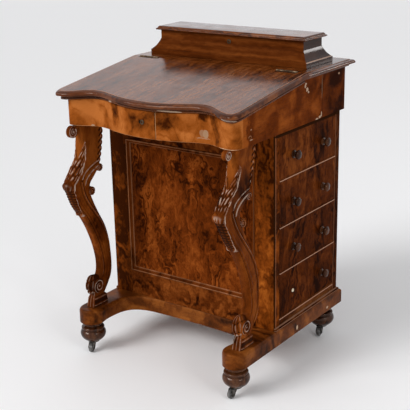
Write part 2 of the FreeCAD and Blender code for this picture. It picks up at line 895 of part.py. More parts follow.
def hinge_room(x, fixed):
    # What a slope hinge needs: a groove for the knuckle and a sinking for one leaf
    width = (x - hinge_length / 2, x + hinge_length / 2)
    groove = rod((width[0], hinge_y, desk_top), (1, 0, 0), hinge_knuckle_radius + running_gap, hinge_length)
    t = hinge_leaf_thickness
    if fixed:
        leaf = block(width, (hinge_y, hinge_y + hinge_leaf_width), (desk_top - t, desk_top + overcut))
    else:
        leaf = on_slope(block(width, (-hinge_leaf_width, 0), (-t, overcut)))
    return groove.fuse(leaf)


def hinge_leaf(segments, others, offset, width):
    # Along X about the pin's axis, with the leaf out along -Y and its outer face at this height
    half = hinge_length / 2
    r = hinge_knuckle_radius
    leaf = block((-half, half), (-width, 0), (offset - hinge_leaf_thickness, offset))
    room = [rod((a, 0, 0), (1, 0, 0), r + running_gap, b - a) for a, b in others]
    knuckles = [rod((a, 0, 0), (1, 0, 0), r, b - a) for a, b in segments]
    return leaf.cut(room).fuse(knuckles).removeSplitter()


def make_hinge(place, width, fixed_leaf, moving_leaf):
    # A butt hinge: outer knuckles and the pin on the fixed leaf, the middle knuckle on the moving
    # one. Each leaf is given as its angle about the pin and the height of its outer face.
    half = hinge_length / 2
    third = hinge_length / 6
    g = hinge_knuckle_gap
    outer = [(-half, -third - g), (third + g, half)]
    pin = rod((-half, 0, 0), (1, 0, 0), hinge_pin_radius, hinge_length)
    bore = rod((-half, 0, 0), (1, 0, 0), hinge_pin_radius + pin_clearance, hinge_length)
    fixed = hinge_leaf(outer, [(-third - g, third + g)], fixed_leaf[1], width)
    moving = hinge_leaf([(-third, third)], [(-half, -third), (third, half)], moving_leaf[1], width)
    fixed.rotate(V(0, 0, 0), V(1, 0, 0), fixed_leaf[0])
    moving.rotate(V(0, 0, 0), V(1, 0, 0), moving_leaf[0])
    pair = fixed.fuse(pin).removeSplitter(), moving.cut(bore)
    for leaf in pair:
        leaf.translate(V(*place))
    return pair


def make_slope_hinges():
    # Leaves let into the top faces on both sides of the joint
    fixed_leaf = (180, hinge_leaf_thickness)
    moving_leaf = (slope_angle, 0)
    return [
        make_hinge((x, hinge_y, desk_top), hinge_leaf_width, fixed_leaf, moving_leaf)
        for x in (-slope_hinge_x, slope_hinge_x)
    ]


stationery_front = case_front + stationery_setback
stationery_rear = stationery_front + stationery_depth
stationery_half = stationery_width / 2
neck_rear = stationery_rear - stationery_neck_inset
lid_base = rim + running_gap
stationery_axis_y = neck_rear + hinge_knuckle_radius + running_gap
stationery_axis_z = lid_base - hinge_knuckle_radius - running_gap
stationery_keyhole_z = rim - stationery_keyhole_drop


def stationery_wire(z, inset):
    x = stationery_half - inset
    near = stationery_front + inset
    far = stationery_rear - inset
    corners = [V(-x, near, z), V(x, near, z), V(x, far, z), V(-x, far, z)]
    return Part.makePolygon(corners + corners[:1])


def make_stationery_box():
    # Upright base, a quirk, and a cove up to a narrower neck; hollow, and open at the top
    n = stationery_neck_inset
    nose = desk_top + stationery_plinth_height
    h = stationery_cove_height
    cove = [(0, 0), (0.12, 0.2), (0.3, 0.42), (0.58, 0.72), (0.8, 0.92), (1, 1)]
    steps = [(desk_top, 0)] + [(nose + h * rise, n * share) for rise, share in cove] + [(rim, n)]
    body = stacked(stationery_wire, steps)
    inner = n + stationery_wall
    low = desk_top + stationery_floor_thickness
    cavity = prism(stationery_wire(low, inner), stationery_height)
    keyhole = rod((0, stationery_front, stationery_keyhole_z), (0, 1, 0), keyhole_radius, inner + overcut)
    return body.cut([cavity, keyhole])


def make_stationery_dividers():
    # Two cross boards that part the box into three
    inner = stationery_neck_inset + stationery_wall
    t = stationery_divider_thickness / 2
    third = (stationery_half - inner) / 3
    low = desk_top + stationery_floor_thickness
    high = rim - stationery_wall
    y = (stationery_front + inner, stationery_rear - inner)
    return [block((x - t, x + t), y, (low, high)) for x in (-third, third)]


def make_stationery_lid():
    inset = stationery_neck_inset - stationery_lid_overhang
    bevel = stationery_lid_bevel
    edge = lid_base + stationery_lid_edge
    top = lid_base + stationery_lid_thickness
    middle = between(edge, top, 0.6)
    steps = [(lid_base, inset), (edge, inset), (middle, inset + bevel * 0.3), (top, inset + bevel)]
    return stacked(stationery_wire, steps)


def make_stationery_hinges():
    # Leaves on the rear of the neck and under the lid's rear overhang
    outer = hinge_knuckle_radius + running_gap
    fixed_leaf = (90, outer)
    moving_leaf = (180, hinge_leaf_thickness - outer)
    return [
        make_hinge((x, stationery_axis_y, stationery_axis_z), small_leaf_width, fixed_leaf, moving_leaf)
        for x in (-stationery_hinge_x, stationery_hinge_x)
    ]


def make_stationery_escutcheon():
    face = stationery_front + stationery_neck_inset
    return make_escutcheon(face, stationery_keyhole_z).cut(make_stationery_box())


# Base
save("plinth", make_plinth())
for corner, place in foot_places.items():
    save(corner + "_foot", make_foot(place))
    save(corner + "_castor_fork", make_castor_fork(place, castor_angles[corner]))
    save(corner + "_castor_wheel", make_castor_wheel(place, castor_angles[corner]))
save("castor_cups", *[make_castor_cup(place) for place in foot_places.values()])

# Pedestal
save("front_posts", make_front_post(), mirrored(make_front_post()))
save("rear_posts", make_rear_post(), mirrored(make_rear_post()))
save("front_rails", *make_front_rails())
save("front_panel", make_front_panel())
save("panel_moulding", make_panel_moulding())
save("left_side_panel", make_left_side())
save("back_panel", make_back_panel())
save("dust_board", make_dust_board())
save("base_moulding", make_base_moulding())
save("drawer_rails", *make_drawer_rails())
save("drawer_runners", *make_runners())
save("dummy_drawer_fronts", *make_dummy_fronts())
save("dummy_knobs", *make_dummy_knobs())

# Drawers, counted from the bottom
for i, base in enumerate(opening_bases):
    name = "drawer_%d" % (i + 1)
    save(name + "_front", make_drawer_front(base))
    save(name + "_box", *make_drawer_box(base))
    save(name + "_knobs", *make_drawer_knobs(base, i == 0))

# Legs
save("right_leg", make_leg())
save("left_leg", mirrored(make_leg()))

# Writing box
save("box_front", make_box_front())
save("box_left_side", mirrored(make_box_side(box_rear)))
save("box_right_side", make_box_side(case_front + pen_front_setback))
save("box_floor", make_box_floor())
save("box_back", make_box_back())
save("well_partition", make_partition())
save("pen_drawer", make_pen_drawer())
save("pen_drawer_guide", make_pen_guide())
save("flat_top", make_flat_top())
save("slope", make_slope())
slope_hinges = make_slope_hinges()
save("slope_hinge_fixed_leaves", *[pair[0] for pair in slope_hinges])
save("slope_hinge_moving_leaves", *[pair[1] for pair in slope_hinges])
save("slope_lock", make_slope_lock_body(), make_slope_escutcheon())

# Stationery box
save("stationery_box", make_stationery_box())
save("stationery_dividers", *make_stationery_dividers())
save("stationery_lid", make_stationery_lid())
stationery_hinges = make_stationery_hinges()
save("stationery_hinge_fixed_leaves", *[pair[0] for pair in stationery_hinges])
save("stationery_hinge_moving_leaves", *[pair[1] for pair in stationery_hinges])
save("stationery_escutcheon", make_stationery_escutcheon())
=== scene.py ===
import json
import math
import bmesh
import bpy
import numpy as np
from mathutils import Matrix, Vector

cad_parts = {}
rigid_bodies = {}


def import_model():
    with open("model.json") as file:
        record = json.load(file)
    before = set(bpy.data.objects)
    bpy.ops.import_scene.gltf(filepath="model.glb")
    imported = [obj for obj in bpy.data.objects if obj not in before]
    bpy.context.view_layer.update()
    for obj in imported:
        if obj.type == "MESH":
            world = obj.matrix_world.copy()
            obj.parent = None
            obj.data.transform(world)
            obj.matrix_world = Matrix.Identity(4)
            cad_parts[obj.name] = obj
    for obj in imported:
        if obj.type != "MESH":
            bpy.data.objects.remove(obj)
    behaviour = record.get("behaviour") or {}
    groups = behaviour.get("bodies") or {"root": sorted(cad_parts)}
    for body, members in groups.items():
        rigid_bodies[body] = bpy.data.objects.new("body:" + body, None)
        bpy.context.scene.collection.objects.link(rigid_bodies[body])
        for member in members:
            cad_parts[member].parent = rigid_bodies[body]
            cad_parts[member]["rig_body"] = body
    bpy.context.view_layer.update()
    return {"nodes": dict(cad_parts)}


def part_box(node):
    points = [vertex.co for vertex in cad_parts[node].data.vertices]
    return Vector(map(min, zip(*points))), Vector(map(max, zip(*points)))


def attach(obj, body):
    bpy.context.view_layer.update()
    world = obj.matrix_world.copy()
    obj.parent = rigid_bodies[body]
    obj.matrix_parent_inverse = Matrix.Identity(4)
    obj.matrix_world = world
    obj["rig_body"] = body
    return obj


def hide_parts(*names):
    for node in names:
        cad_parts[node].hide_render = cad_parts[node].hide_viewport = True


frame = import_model()
nodes = frame["nodes"]
print("frame loaded:", len(nodes), "nodes")


# Lengths are millimetres in the piece functions, and makePiece turns them into metres

def boxMm(node):
    # Low and high corner of a node's box
    low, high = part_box(node)
    return np.array(low) * 1000, np.array(high) * 1000


corners = ("front_left", "front_right", "rear_left", "rear_right")
hingeGap = 0.5                        # from the slope's hinge line to the flat top
caseFront = boxMm("front_posts")[0][1]
caseHalf, _, boxBase = boxMm("front_posts")[1]
topBase = boxMm("box_back")[1][2]
deskTop = boxMm("flat_top")[1][2]
topHalf = boxMm("flat_top")[1][0]
hingeY = boxMm("flat_top")[0][1] - hingeGap


# Curves, as arrays of points

def bezier(poles, steps):
    # Cubic curve: the four poles weighted by (1-t)^3, 3t(1-t)^2, 3t^2(1-t) and t^3
    t = np.linspace(0, 1, steps + 1)[:, None]
    a, b, c, d = np.asarray(poles, float)
    return (1 - t) ** 3 * a + 3 * t * (1 - t) ** 2 * b + 3 * t**2 * (1 - t) * c + t**3 * d


def smoothCurve(points, count):
    # Catmull-Rom curve through the points: each span is a cubic whose end slopes are half the
    # distance between the neighbours, sampled at even steps of the point number
    p = np.asarray(points, float)
    ends = np.vstack([2 * p[:1] - p[1:2], p, 2 * p[-1:] - p[-2:-1]])
    at = np.linspace(0, len(p) - 1, count)
    span = np.minimum(at.astype(int), len(p) - 2)
    t = (at - span)[:, None]
    p0, p1, p2, p3 = ends[span], ends[span + 1], ends[span + 2], ends[span + 3]
    return 0.5 * (
        2 * p1 + (p2 - p0) * t + (2 * p0 - 5 * p1 + 4 * p2 - p3) * t**2
        + (3 * p1 - p0 - 3 * p2 + p3) * t**3
    )


def arc(centre, radius, startDegrees, endDegrees, steps=8):
    # Points on an ellipse: centre + (radius x cos, radius y sin), the angle in even steps
    angle = np.radians(np.linspace(startDegrees, endDegrees, steps + 1))
    rx, ry = radius if isinstance(radius, tuple) else (radius, radius)
    return np.column_stack([centre[0] + rx * np.cos(angle), centre[1] + ry * np.sin(angle)])


def chain(stretches):
    # Point lists end to end, with a shared end point kept once
    kept = [np.asarray(stretches[0], float)]
    for stretch in stretches[1:]:
        part = np.asarray(stretch, float)
        shared = np.allclose(kept[-1][-1], part[0], atol=1e-4)
        kept.append(part[1:] if shared else part)
    return np.vstack(kept)


def bothSides(right):
    # A plan from its right end to the middle, and the same mirrored on the left
    return chain([right, right[::-1] * [-1, 1]])


def inwardNormals(path, closed=False):
    # The tangent turned towards the board, lengthened at a corner by 1 over the cosine of half
    # its turn, so that an inset keeps its width round a mitre
    step = np.diff(path, axis=0)
    step /= np.linalg.norm(step, axis=1)[:, None]
    side = np.column_stack([step[:, 1], -step[:, 0]])
    before = np.vstack([side[-1:] if closed else side[:1], side])
    after = np.vstack([side, side[:1] if closed else side[-1:]])
    return (before + after) / (1 + (before * after).sum(axis=1))[:, None]


# Surfaces, as grids of points

def edgeGrid(path, profile, closed=False):
    # Moulding: each profile point (inset, height) carried along the plan path
    profile = np.asarray(profile, float)
    normals = inwardNormals(path, closed)
    plan = path[None] + normals[None] * profile[:, 0, None, None]
    height = np.broadcast_to(profile[:, 1, None, None], plan.shape[:2] + (1,))
    return np.concatenate([plan, height], axis=2)


def turnedGrid(profile, centre, axis="z", side=1, steps=48):
    # Lathe: each profile point (radius, distance) goes once round the z or x axis
    profile = np.asarray(profile, float)
    angle = np.linspace(0, 2 * np.pi, steps + 1)[None]
    a = profile[:, :1] * np.cos(angle)
    b = profile[:, :1] * np.sin(angle)
    along = np.broadcast_to(side * profile[:, 1:2], a.shape)
    parts = (a, b, along) if axis == "z" else (along, a, b)
    return np.stack(parts, axis=2) + np.asarray(centre, float)


def arcLength(points, axis):
    # Distance along a grid's rows or columns, averaged over the other direction
    step = np.linalg.norm(np.diff(points, axis=axis), axis=2).mean(axis=1 - axis)
    length = np.concatenate([[0], np.cumsum(step)])
    return length[:, None] if axis == 0 else length[None]


# Pieces made from the surfaces

meshSet = {
    "mergeDistance": 2e-6,            # metres within which two points become one
    "sharpAngle": 35,                 # degrees past which an edge shows as a crease
    "easedWidth": 0.6,                # millimetres taken off a sawn board's edges
    "easedAngle": 40,                 # degrees past which an edge is eased
    "flatAngle": 0.5,                 # degrees under which two triangles are one flat face
}


def linkedPiece(name, mesh, sharp):
    # Shaded smooth, with a crease at edges sharper than the angle
    mesh.shade_smooth()
    mesh.set_sharp_from_angle(angle=math.radians(sharp))
    piece = bpy.data.objects.new(name, mesh)
    bpy.context.scene.collection.objects.link(piece)
    return piece


def makePiece(name, grids, flats=(), sharp=meshSet["sharpAngle"], paint=None):
    # One mesh from grids of points, (rows, columns, 3) each, and flat outlines. Either may come
    # as (points, material number). UVs are lengths along the columns and the rows, in metres.
    # Paint is one value a point for each grid, painted highlight above 0 and painted shade below
    # it, which the carved finish reads.
    verts, uvs, faces, marks = [], [], [], []
    start = 0
    for grid in grids:
        points, mark = grid if isinstance(grid, tuple) else (grid, 0)
        rows, columns = points.shape[:2]
        i, j = np.meshgrid(np.arange(rows - 1), np.arange(columns - 1), indexing="ij")
        a = (start + i * columns + j).ravel()
        quads = np.stack([a, a + 1, a + columns + 1, a + columns], axis=1)
        faces += quads.tolist()
        marks += [mark] * len(quads)
        verts.append(points.reshape(-1, 3))
        uv = np.broadcast_arrays(arcLength(points, 1), arcLength(points, 0))
        uvs.append(np.stack(uv, axis=2).reshape(-1, 2))
        start += rows * columns
    for flat in flats:
        points, mark = flat if isinstance(flat, tuple) else (flat, 0)
        faces.append(list(range(start, start + len(points))))
        marks.append(mark)
        verts.append(np.asarray(points, float))
        uvs.append(np.asarray(points, float)[:, :2])
        start += len(points)
    mesh = bpy.data.meshes.new(name)
    mesh.from_pydata((np.vstack(verts) / 1000).tolist(), [], faces)
    corner = np.zeros(len(mesh.loops), np.int32)
    mesh.loops.foreach_get("vertex_index", corner)
    layer = mesh.uv_layers.new(name="UVMap")
    layer.data.foreach_set("uv", (np.vstack(uvs)[corner] / 1000).ravel())
    mesh.polygons.foreach_set("material_index", np.array(marks, np.int32))
    if paint is not None:
        values = mesh.attributes.new("carved", "FLOAT", "POINT")
        painted = np.concatenate([part.ravel() for part in paint])
        values.data.foreach_set("value", painted.astype(np.float32))
    work = bmesh.new()
    work.from_mesh(mesh)
    bmesh.ops.remove_doubles(work, verts=work.verts, dist=meshSet["mergeDistance"])
    bmesh.ops.recalc_face_normals(work, faces=work.faces)
    work.to_mesh(mesh)
    work.free()
    return linkedPiece(name, mesh, sharp)


def finishPiece(piece, body, materials, replaced):
    # Materials in the order of their numbers, then the body and the replaced node
    for material in materials:
        piece.data.materials.append(material)
    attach(piece, body)
    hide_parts(replaced)


def easedBoard(node, material):
    # A copy of a plain sawn piece with its edges eased by a small bevel
    mesh = nodes[node].data.copy()
    work = bmesh.new()
    work.from_mesh(mesh)
    bmesh.ops.remove_doubles(work, verts=work.verts, dist=meshSet["mergeDistance"])
    bmesh.ops.dissolve_limit(
        work, angle_limit=math.radians(meshSet["flatAngle"]), verts=work.verts, edges=work.edges
    )
    work.to_mesh(mesh)
    work.free()
    mesh.materials.clear()
    piece = linkedPiece(node + "_eased", mesh, meshSet["sharpAngle"])
    bevel = piece.modifiers.new("easedEdges", "BEVEL")
    bevel.width = meshSet["easedWidth"] / 1000
    bevel.segments = 2
    bevel.limit_method = "ANGLE"
    bevel.angle_limit = math.radians(meshSet["easedAngle"])
    bevel.harden_normals = True
    finishPiece(piece, nodes[node]["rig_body"], [material], node)


def dress(material, *names):
    # A finish for pieces that keep their own mesh
    for name in names:
        nodes[name].material_slots[0].material = material


# Shader nodes, each made by a short call that gives the socket it ends in

def startMaterial(name):
    # An empty material with one shader joined to its output
    material = bpy.data.materials.new(name)
    material.use_nodes = True
    tree = material.node_tree
    tree.nodes.clear()
    shader = tree.nodes.new("ShaderNodeBsdfPrincipled")
    output = tree.nodes.new("ShaderNodeOutputMaterial")
    tree.links.new(shader.outputs["BSDF"], output.inputs["Surface"])
    return material, tree, shader


def feed(tree, value, socket):
    # A socket takes either another node's output or a plain value
    if isinstance(value, bpy.types.NodeSocket):
        tree.links.new(value, socket)
    else:
        socket.default_value = value


def shaderNode(tree, kind, inputs, **settings):
    # A node with its settings made and its inputs fed, each found by name or number
    node = tree.nodes.new("ShaderNode" + kind)
    for name, value in settings.items():
        setattr(node, name, value)
    for place, value in inputs.items():
        feed(tree, value, node.inputs[place])
    return node.outputs


def mathNode(tree, operation, a, b=0.0):
    return shaderNode(tree, "Math", {0: a, 1: b}, operation=operation)[0]


def plus(tree, a, b):
    return mathNode(tree, "ADD", a, b)


def times(tree, a, b):
    return mathNode(tree, "MULTIPLY", a, b)


def vectorNode(tree, operation, a, b, second=1):
    return shaderNode(tree, "VectorMath", {0: a, second: b}, operation=operation)["Vector"]


def mapped(tree, vector, scale=(1, 1, 1), turn=(0, 0, 0), shift=(0, 0, 0)):
    # The space scaled, then turned by degrees, then moved
    radians = [math.radians(a) for a in turn]
    inputs = {"Vector": vector, "Scale": scale, "Rotation": radians, "Location": shift}
    return shaderNode(tree, "Mapping", inputs)["Vector"]


def noise(tree, vector, scale, detail, roughness=0.5):
    # A cloud as its height and as three heights in one colour
    inputs = {"Vector": vector, "Scale": scale, "Detail": detail, "Roughness": roughness}
    outputs = shaderNode(tree, "TexNoise", inputs)
    return outputs["Fac"], outputs["Color"]


def remap(tree, value, fromRange, toRange=(0.0, 1.0)):
    # A smooth step: the first range's ends become the second's, and it is level outside them
    ends = ("From Min", "From Max", "To Min", "To Max")
    inputs = {"Value": value, **dict(zip(ends, (*fromRange, *toRange)))}
    return shaderNode(tree, "MapRange", inputs, interpolation_type="SMOOTHSTEP")["Result"]


def mixColour(tree, factor, a, b):
    # The first at a factor of 0, the second at 1, and a straight blend between
    a, b = ((*value, 1.0) if isinstance(value, tuple) else value for value in (a, b))
    return shaderNode(tree, "Mix", {"Factor": factor, 6: a, 7: b}, data_type="RGBA")[2]


def ramp(tree, factor, stops):
    # Straight steps between the stops, each a place and a colour
    node = tree.nodes.new("ShaderNodeValToRGB")
    feed(tree, factor, node.inputs["Fac"])
    elements = node.color_ramp.elements
    while len(elements) < len(stops):
        elements.new(0.5)
    for element, (place, colour) in zip(elements, stops):
        element.position = place
        element.color = (*colour, 1.0)
    return node.outputs["Color"]


def bump(tree, height, strength, distance):
    # The surface's normal tilted by the height's slope
    inputs = {"Height": height, "Strength": strength, "Distance": distance}
    return shaderNode(tree, "Bump", inputs)["Normal"]


def setShader(tree, shader, inputs):
    # The named inputs of a material's last shader
    for name, value in inputs.items():
        feed(tree, value, shader.inputs[name])


def shaken(tree, space, cloud, reach):
    # The space moved by a noise's colour about its middle grey, times the reach in metres
    offset = vectorNode(tree, "SUBTRACT", cloud[1], (0.5, 0.5, 0.5))
    return vectorNode(tree, "ADD", space, vectorNode(tree, "SCALE", offset, reach, "Scale"))


def oval(tree, space, centre, half, edge):
    # 1 inside an oval and 0 outside it, both in millimetres. The edge gives the shares of the
    # half sizes at which it reaches 0 and 1.
    offset = vectorNode(tree, "SUBTRACT", space, tuple(c / 1000 for c in centre))
    size = vectorNode(tree, "DIVIDE", offset, tuple(h / 1000 for h in half))
    reach = shaderNode(tree, "VectorMath", {0: size}, operation="LENGTH")["Value"]
    return remap(tree, reach, edge[::-1], (1.0, 0.0))


# Polished walnut

walnutLook = {
    "space": "Object",                # or "UV", for a pattern that follows the surface
    "turn": (0, 0, 0),                # degrees that bring the grain upright
    "bookMatch": None,                # x in metres about which the two halves of a veneer mirror
    "figure": 9.0,                    # clouds per metre across the grain
    "stretch": 0.4,                   # share of that along the grain
    "warp": 0.07,                     # metres that the figure wanders
    "contours": 8.0,                  # growth lines wound round the clouds
    "rings": 14.0,                    # straight growth lines per metre across the grain
    "threads": 0.0,                   # thin dark lines along the growth lines
    "cloudGain": 1.5, "lineGain": 0.34, "mottleGain": 0.55,
    "tone": (0.12, 0.027, 0.004),     # the middle colour, and the others' shares of it
    "darkShare": (0.17, 0.16, 0.2), "lightShare": (2.2, 2.7, 3.2),
    "darkAt": 0.22, "lightAt": 0.8,
    "pores": 0.4,
    "ripple": 0.2,                    # how deep the pores look
    "roughness": (0.3, 0.48),
    "gloss": 0.006,                   # specular level
    "polishTint": (1.0, 0.6, 0.36),
    "coat": 0.0, "coatRoughness": 0.12,
    "patches": (),                    # (centre, half size, change of tone), clouds in given places; a few are painted shadows
    "patchGain": 0.55,
    "spots": (),                      # (centre, half size, raggedness, colour): chips, knots, dark joints, painted shadows and painted highlights
    "carved": False,                  # painted shade in the hollows and pale ridges, partly wear and partly painted highlight, from the piece's own paint
    "wearAndPaintedLight": (0.42, 0.3, 0.235),
}
# (scale, detail, roughness) of each cloud, with the scale as a share of the wood's own figure
figureClouds = {
    "cloud": (1.0, 5.0, 0.62), "hills": (0.6, 1.0, 0.4), "mottle": (7.0, 4.0, 0.7),
    "wander": (1.4, 3.0, 0.6), "fading": (1.7, 2.0, 0.5),
}
# The same with plain scales, per metre
fixedClouds = {
    "pores": (700, 3.0, 0.6), "polish": (28, 4.0, 0.5), "wearAndGlintCloud": (75, 3.0, 0.5),
    "patchEdge": (38, 3.0, 0.6), "spotEdge": (180, 2.0, 0.5),
}
woodSet = {
    "fullTurn": 6.2832, "wanderStretch": 0.7,
    "fadingAt": (0.35, 0.65), "threadAt": (0.0, 0.34), "threadTurns": 1.5,
    "poreStretch": 0.045, "poreAt": (0.3, 0.47), "poreShade": 0.5, "poreDepth": 0.0003,
    "polishAt": (0.3, 0.7),
    "patchShake": 0.045, "patchEdge": (1.25, 0.35),
    "spotEdge": (1.05, 0.92), "spotRoughness": 0.75,
    # The carving's paint: painted shade in its hollows, and pale ridges that are wear and painted
    # highlight
    "hollowAt": (-0.8, 0.0), "hollowShare": (0.82, 0.0), "hollowShadeTone": (0.008, 0.003, 0.002),
    "ridgeAt": (0.25, 0.9), "ridgeShare": (0.0, 0.9),
    "wearAndGlintAt": (0.36, 0.58), "wearAndGlintShare": (0.15, 1.0),
}


def figureCloud(tree, space, look, kind):
    # A cloud whose scale is its own share times the wood's figure
    scale, detail, roughness = figureClouds[kind]
    return noise(tree, space, look["figure"] * scale, detail, roughness)


def mirrored(tree, space, x):
    # Book-matched veneer: both halves read the distance from the joint at x
    moved = mapped(tree, space, shift=(-x, 0, 0))
    across, deep, up = shaderNode(tree, "SeparateXYZ", {0: moved})
    across = mathNode(tree, "ABSOLUTE", across)
    return shaderNode(tree, "CombineXYZ", {0: across, 1: deep, 2: up})[0]


def growthTurns(tree, bent, look):
    # Lines counted across the grain, plus the height of a smooth cloud, so that they wind round
    # it as contours do on a map
    hills = figureCloud(tree, bent, look, "hills")[0]
    x, y, _ = shaderNode(tree, "SeparateXYZ", {0: bent})
    sideways = plus(tree, x, y)
    return plus(tree, times(tree, sideways, look["rings"]), times(tree, hills, look["contours"]))


def grainTone(tree, solid, upright, look):
    # 0.5, plus the clouds, the sine of the growth lines and the mottle, each times its gain, plus
    # the patches, less the threads, which are the absolute sine near 0
    long = mapped(tree, upright, scale=(1, 1, look["stretch"]))
    wander = mapped(tree, solid, scale=(1, 1, woodSet["wanderStretch"]))
    bent = shaken(tree, long, figureCloud(tree, wander, look, "wander"), look["warp"])
    turns = growthTurns(tree, bent, look)
    fading = remap(tree, figureCloud(tree, long, look, "fading")[0], woodSet["fadingAt"])
    lines = mathNode(tree, "SINE", times(tree, turns, woodSet["fullTurn"]))
    lines = times(tree, times(tree, lines, fading), look["lineGain"] / 2)
    cloud, mottle = (
        mathNode(tree, "SUBTRACT", figureCloud(tree, bent, look, kind)[0], 0.5)
        for kind in ("cloud", "mottle")
    )
    cloud, mottle = times(tree, cloud, look["cloudGain"]), times(tree, mottle, look["mottleGain"])
    tone = plus(tree, plus(tree, plus(tree, cloud, lines), mottle), 0.5)
    if look["patches"]:
        cloud = noise(tree, solid, *fixedClouds["patchEdge"])
        ragged = shaken(tree, solid, cloud, woodSet["patchShake"])
    for centre, half, change in look["patches"]:
        shade = oval(tree, ragged, centre, half, woodSet["patchEdge"])
        tone = plus(tree, tone, times(tree, shade, look["patchGain"] * change))
    if look["threads"]:
        near = times(tree, turns, woodSet["threadTurns"] * woodSet["fullTurn"])
        near = mathNode(tree, "ABSOLUTE", mathNode(tree, "SINE", near))
        thread = remap(tree, near, woodSet["threadAt"], (look["threads"], 0.0))
        tone = mathNode(tree, "SUBTRACT", tone, times(tree, thread, fading))
    return tone


def carvingWear(tree, solid, colour, look):
    # The painted relief below 0 darkens the wood as painted shade in the hollows, and above it
    # turns the ridges pale in places, partly wear and partly painted highlight
    height = shaderNode(tree, "Attribute", {}, attribute_name="carved")["Fac"]
    hollow = remap(tree, height, woodSet["hollowAt"], woodSet["hollowShare"])
    ridge = remap(tree, height, woodSet["ridgeAt"], woodSet["ridgeShare"])
    wearAndGlintCloud = noise(tree, solid, *fixedClouds["wearAndGlintCloud"])[0]
    wearAndGlint = remap(tree, wearAndGlintCloud, woodSet["wearAndGlintAt"], woodSet["wearAndGlintShare"])
    colour = mixColour(tree, hollow, colour, woodSet["hollowShadeTone"])
    return mixColour(tree, times(tree, ridge, wearAndGlint), colour, look["wearAndPaintedLight"])


def walnut(name, **changes):
    # Colours by the grain's tone, from dark over the middle colour to light, then darker pores, the
    # carving's painted shade, wear and painted highlights, and the spots: chips, painted shadows
    # and painted highlights; the gloss wanders with a cloud and stops at the spots
    look = {**walnutLook, **changes}
    material, tree, shader = startMaterial(name)
    places = shaderNode(tree, "TexCoord", {})
    solid, space = places["Object"], places[look["space"]]
    if look["bookMatch"] is not None:
        space = mirrored(tree, space, look["bookMatch"])
    upright = mapped(tree, space, turn=look["turn"])
    dark, light = (
        tuple(t * k for t, k in zip(look["tone"], look[share]))
        for share in ("darkShare", "lightShare")
    )
    colour = ramp(tree, grainTone(tree, solid, upright, look), [
        (look["darkAt"], dark),
        ((look["darkAt"] + look["lightAt"]) / 2, look["tone"]),
        (look["lightAt"], light),
    ])
    lengthways = mapped(tree, upright, scale=(1, 1, woodSet["poreStretch"]))
    streak = noise(tree, lengthways, *fixedClouds["pores"])[0]
    pore = times(tree, remap(tree, streak, woodSet["poreAt"], (1.0, 0.0)), look["pores"])
    colour = mixColour(tree, pore, colour, tuple(c * woodSet["poreShade"] for c in dark))
    polish = noise(tree, upright, *fixedClouds["polish"])[0]
    dull = remap(tree, polish, woodSet["polishAt"], look["roughness"])
    if look["carved"]:
        colour = carvingWear(tree, solid, colour, look)
    for centre, half, shake, spotColour in look["spots"]:
        moved = shaken(tree, solid, noise(tree, solid, *fixedClouds["spotEdge"]), shake / 1000)
        spotMask = oval(tree, moved, centre, half, woodSet["spotEdge"])
        colour = mixColour(tree, spotMask, colour, spotColour)
        dull = mathNode(tree, "MAXIMUM", dull, times(tree, spotMask, woodSet["spotRoughness"]))
    setShader(tree, shader, {
        "Base Color": colour, "Roughness": dull,
        "Normal": bump(tree, streak, look["ripple"], woodSet["poreDepth"]),
        "Specular IOR Level": look["gloss"], "Specular Tint": (*look["polishTint"], 1),
        "Coat Weight": look["coat"], "Coat Roughness": look["coatRoughness"],
    })
    return material


# Brass, iron and glaze

metalSet = {
    "cloud": (90, 4.0), "dullAt": (0.35, 0.62), "roughAt": (0.3, 0.7),
    "pits": (700, 3.0), "pitStrength": 0.2, "pitDepth": 0.0002,
}
glazeSet = {"dirt": (120, 4.0), "dirtAt": (0.42, 0.68), "roughness": (0.18, 0.5)}


def metal(name, colour, tarnish, roughness):
    # Old metal: bright where handled, dull and darker in a cloudy pattern
    material, tree, shader = startMaterial(name)
    space = shaderNode(tree, "TexCoord", {})["Object"]
    cloud = noise(tree, space, *metalSet["cloud"])[0]
    dull = remap(tree, cloud, metalSet["dullAt"])
    pits = noise(tree, space, *metalSet["pits"])[0]
    setShader(tree, shader, {
        "Base Color": mixColour(tree, dull, colour, tarnish), "Metallic": 1.0,
        "Roughness": remap(tree, cloud, metalSet["roughAt"], roughness),
        "Normal": bump(tree, pits, metalSet["pitStrength"], metalSet["pitDepth"]),
    })
    return material


def glazed(name, colour, shade):
    # Glazed earthenware with grime in a soft cloud
    material, tree, shader = startMaterial(name)
    space = shaderNode(tree, "TexCoord", {})["Object"]
    dirt = remap(tree, noise(tree, space, *glazeSet["dirt"])[0], glazeSet["dirtAt"])
    setShader(tree, shader, {
        "Base Color": mixColour(tree, dirt, colour, shade),
        "Roughness": remap(tree, dirt, (0, 1), glazeSet["roughness"]),
    })
    return material


def ovals(axis, place, reach, rows):
    # Patches or spots that share a place and reach along one axis, 0 for x and 1 for y. Each row
    # has the other two places, the other two reaches, and what follows them.
    def whole(pair, value):
        return tuple(pair[:axis]) + (value,) + tuple(pair[axis:])

    return tuple((whole(row[:2], place), whole(row[2:4], reach), *row[4:]) for row in rows)
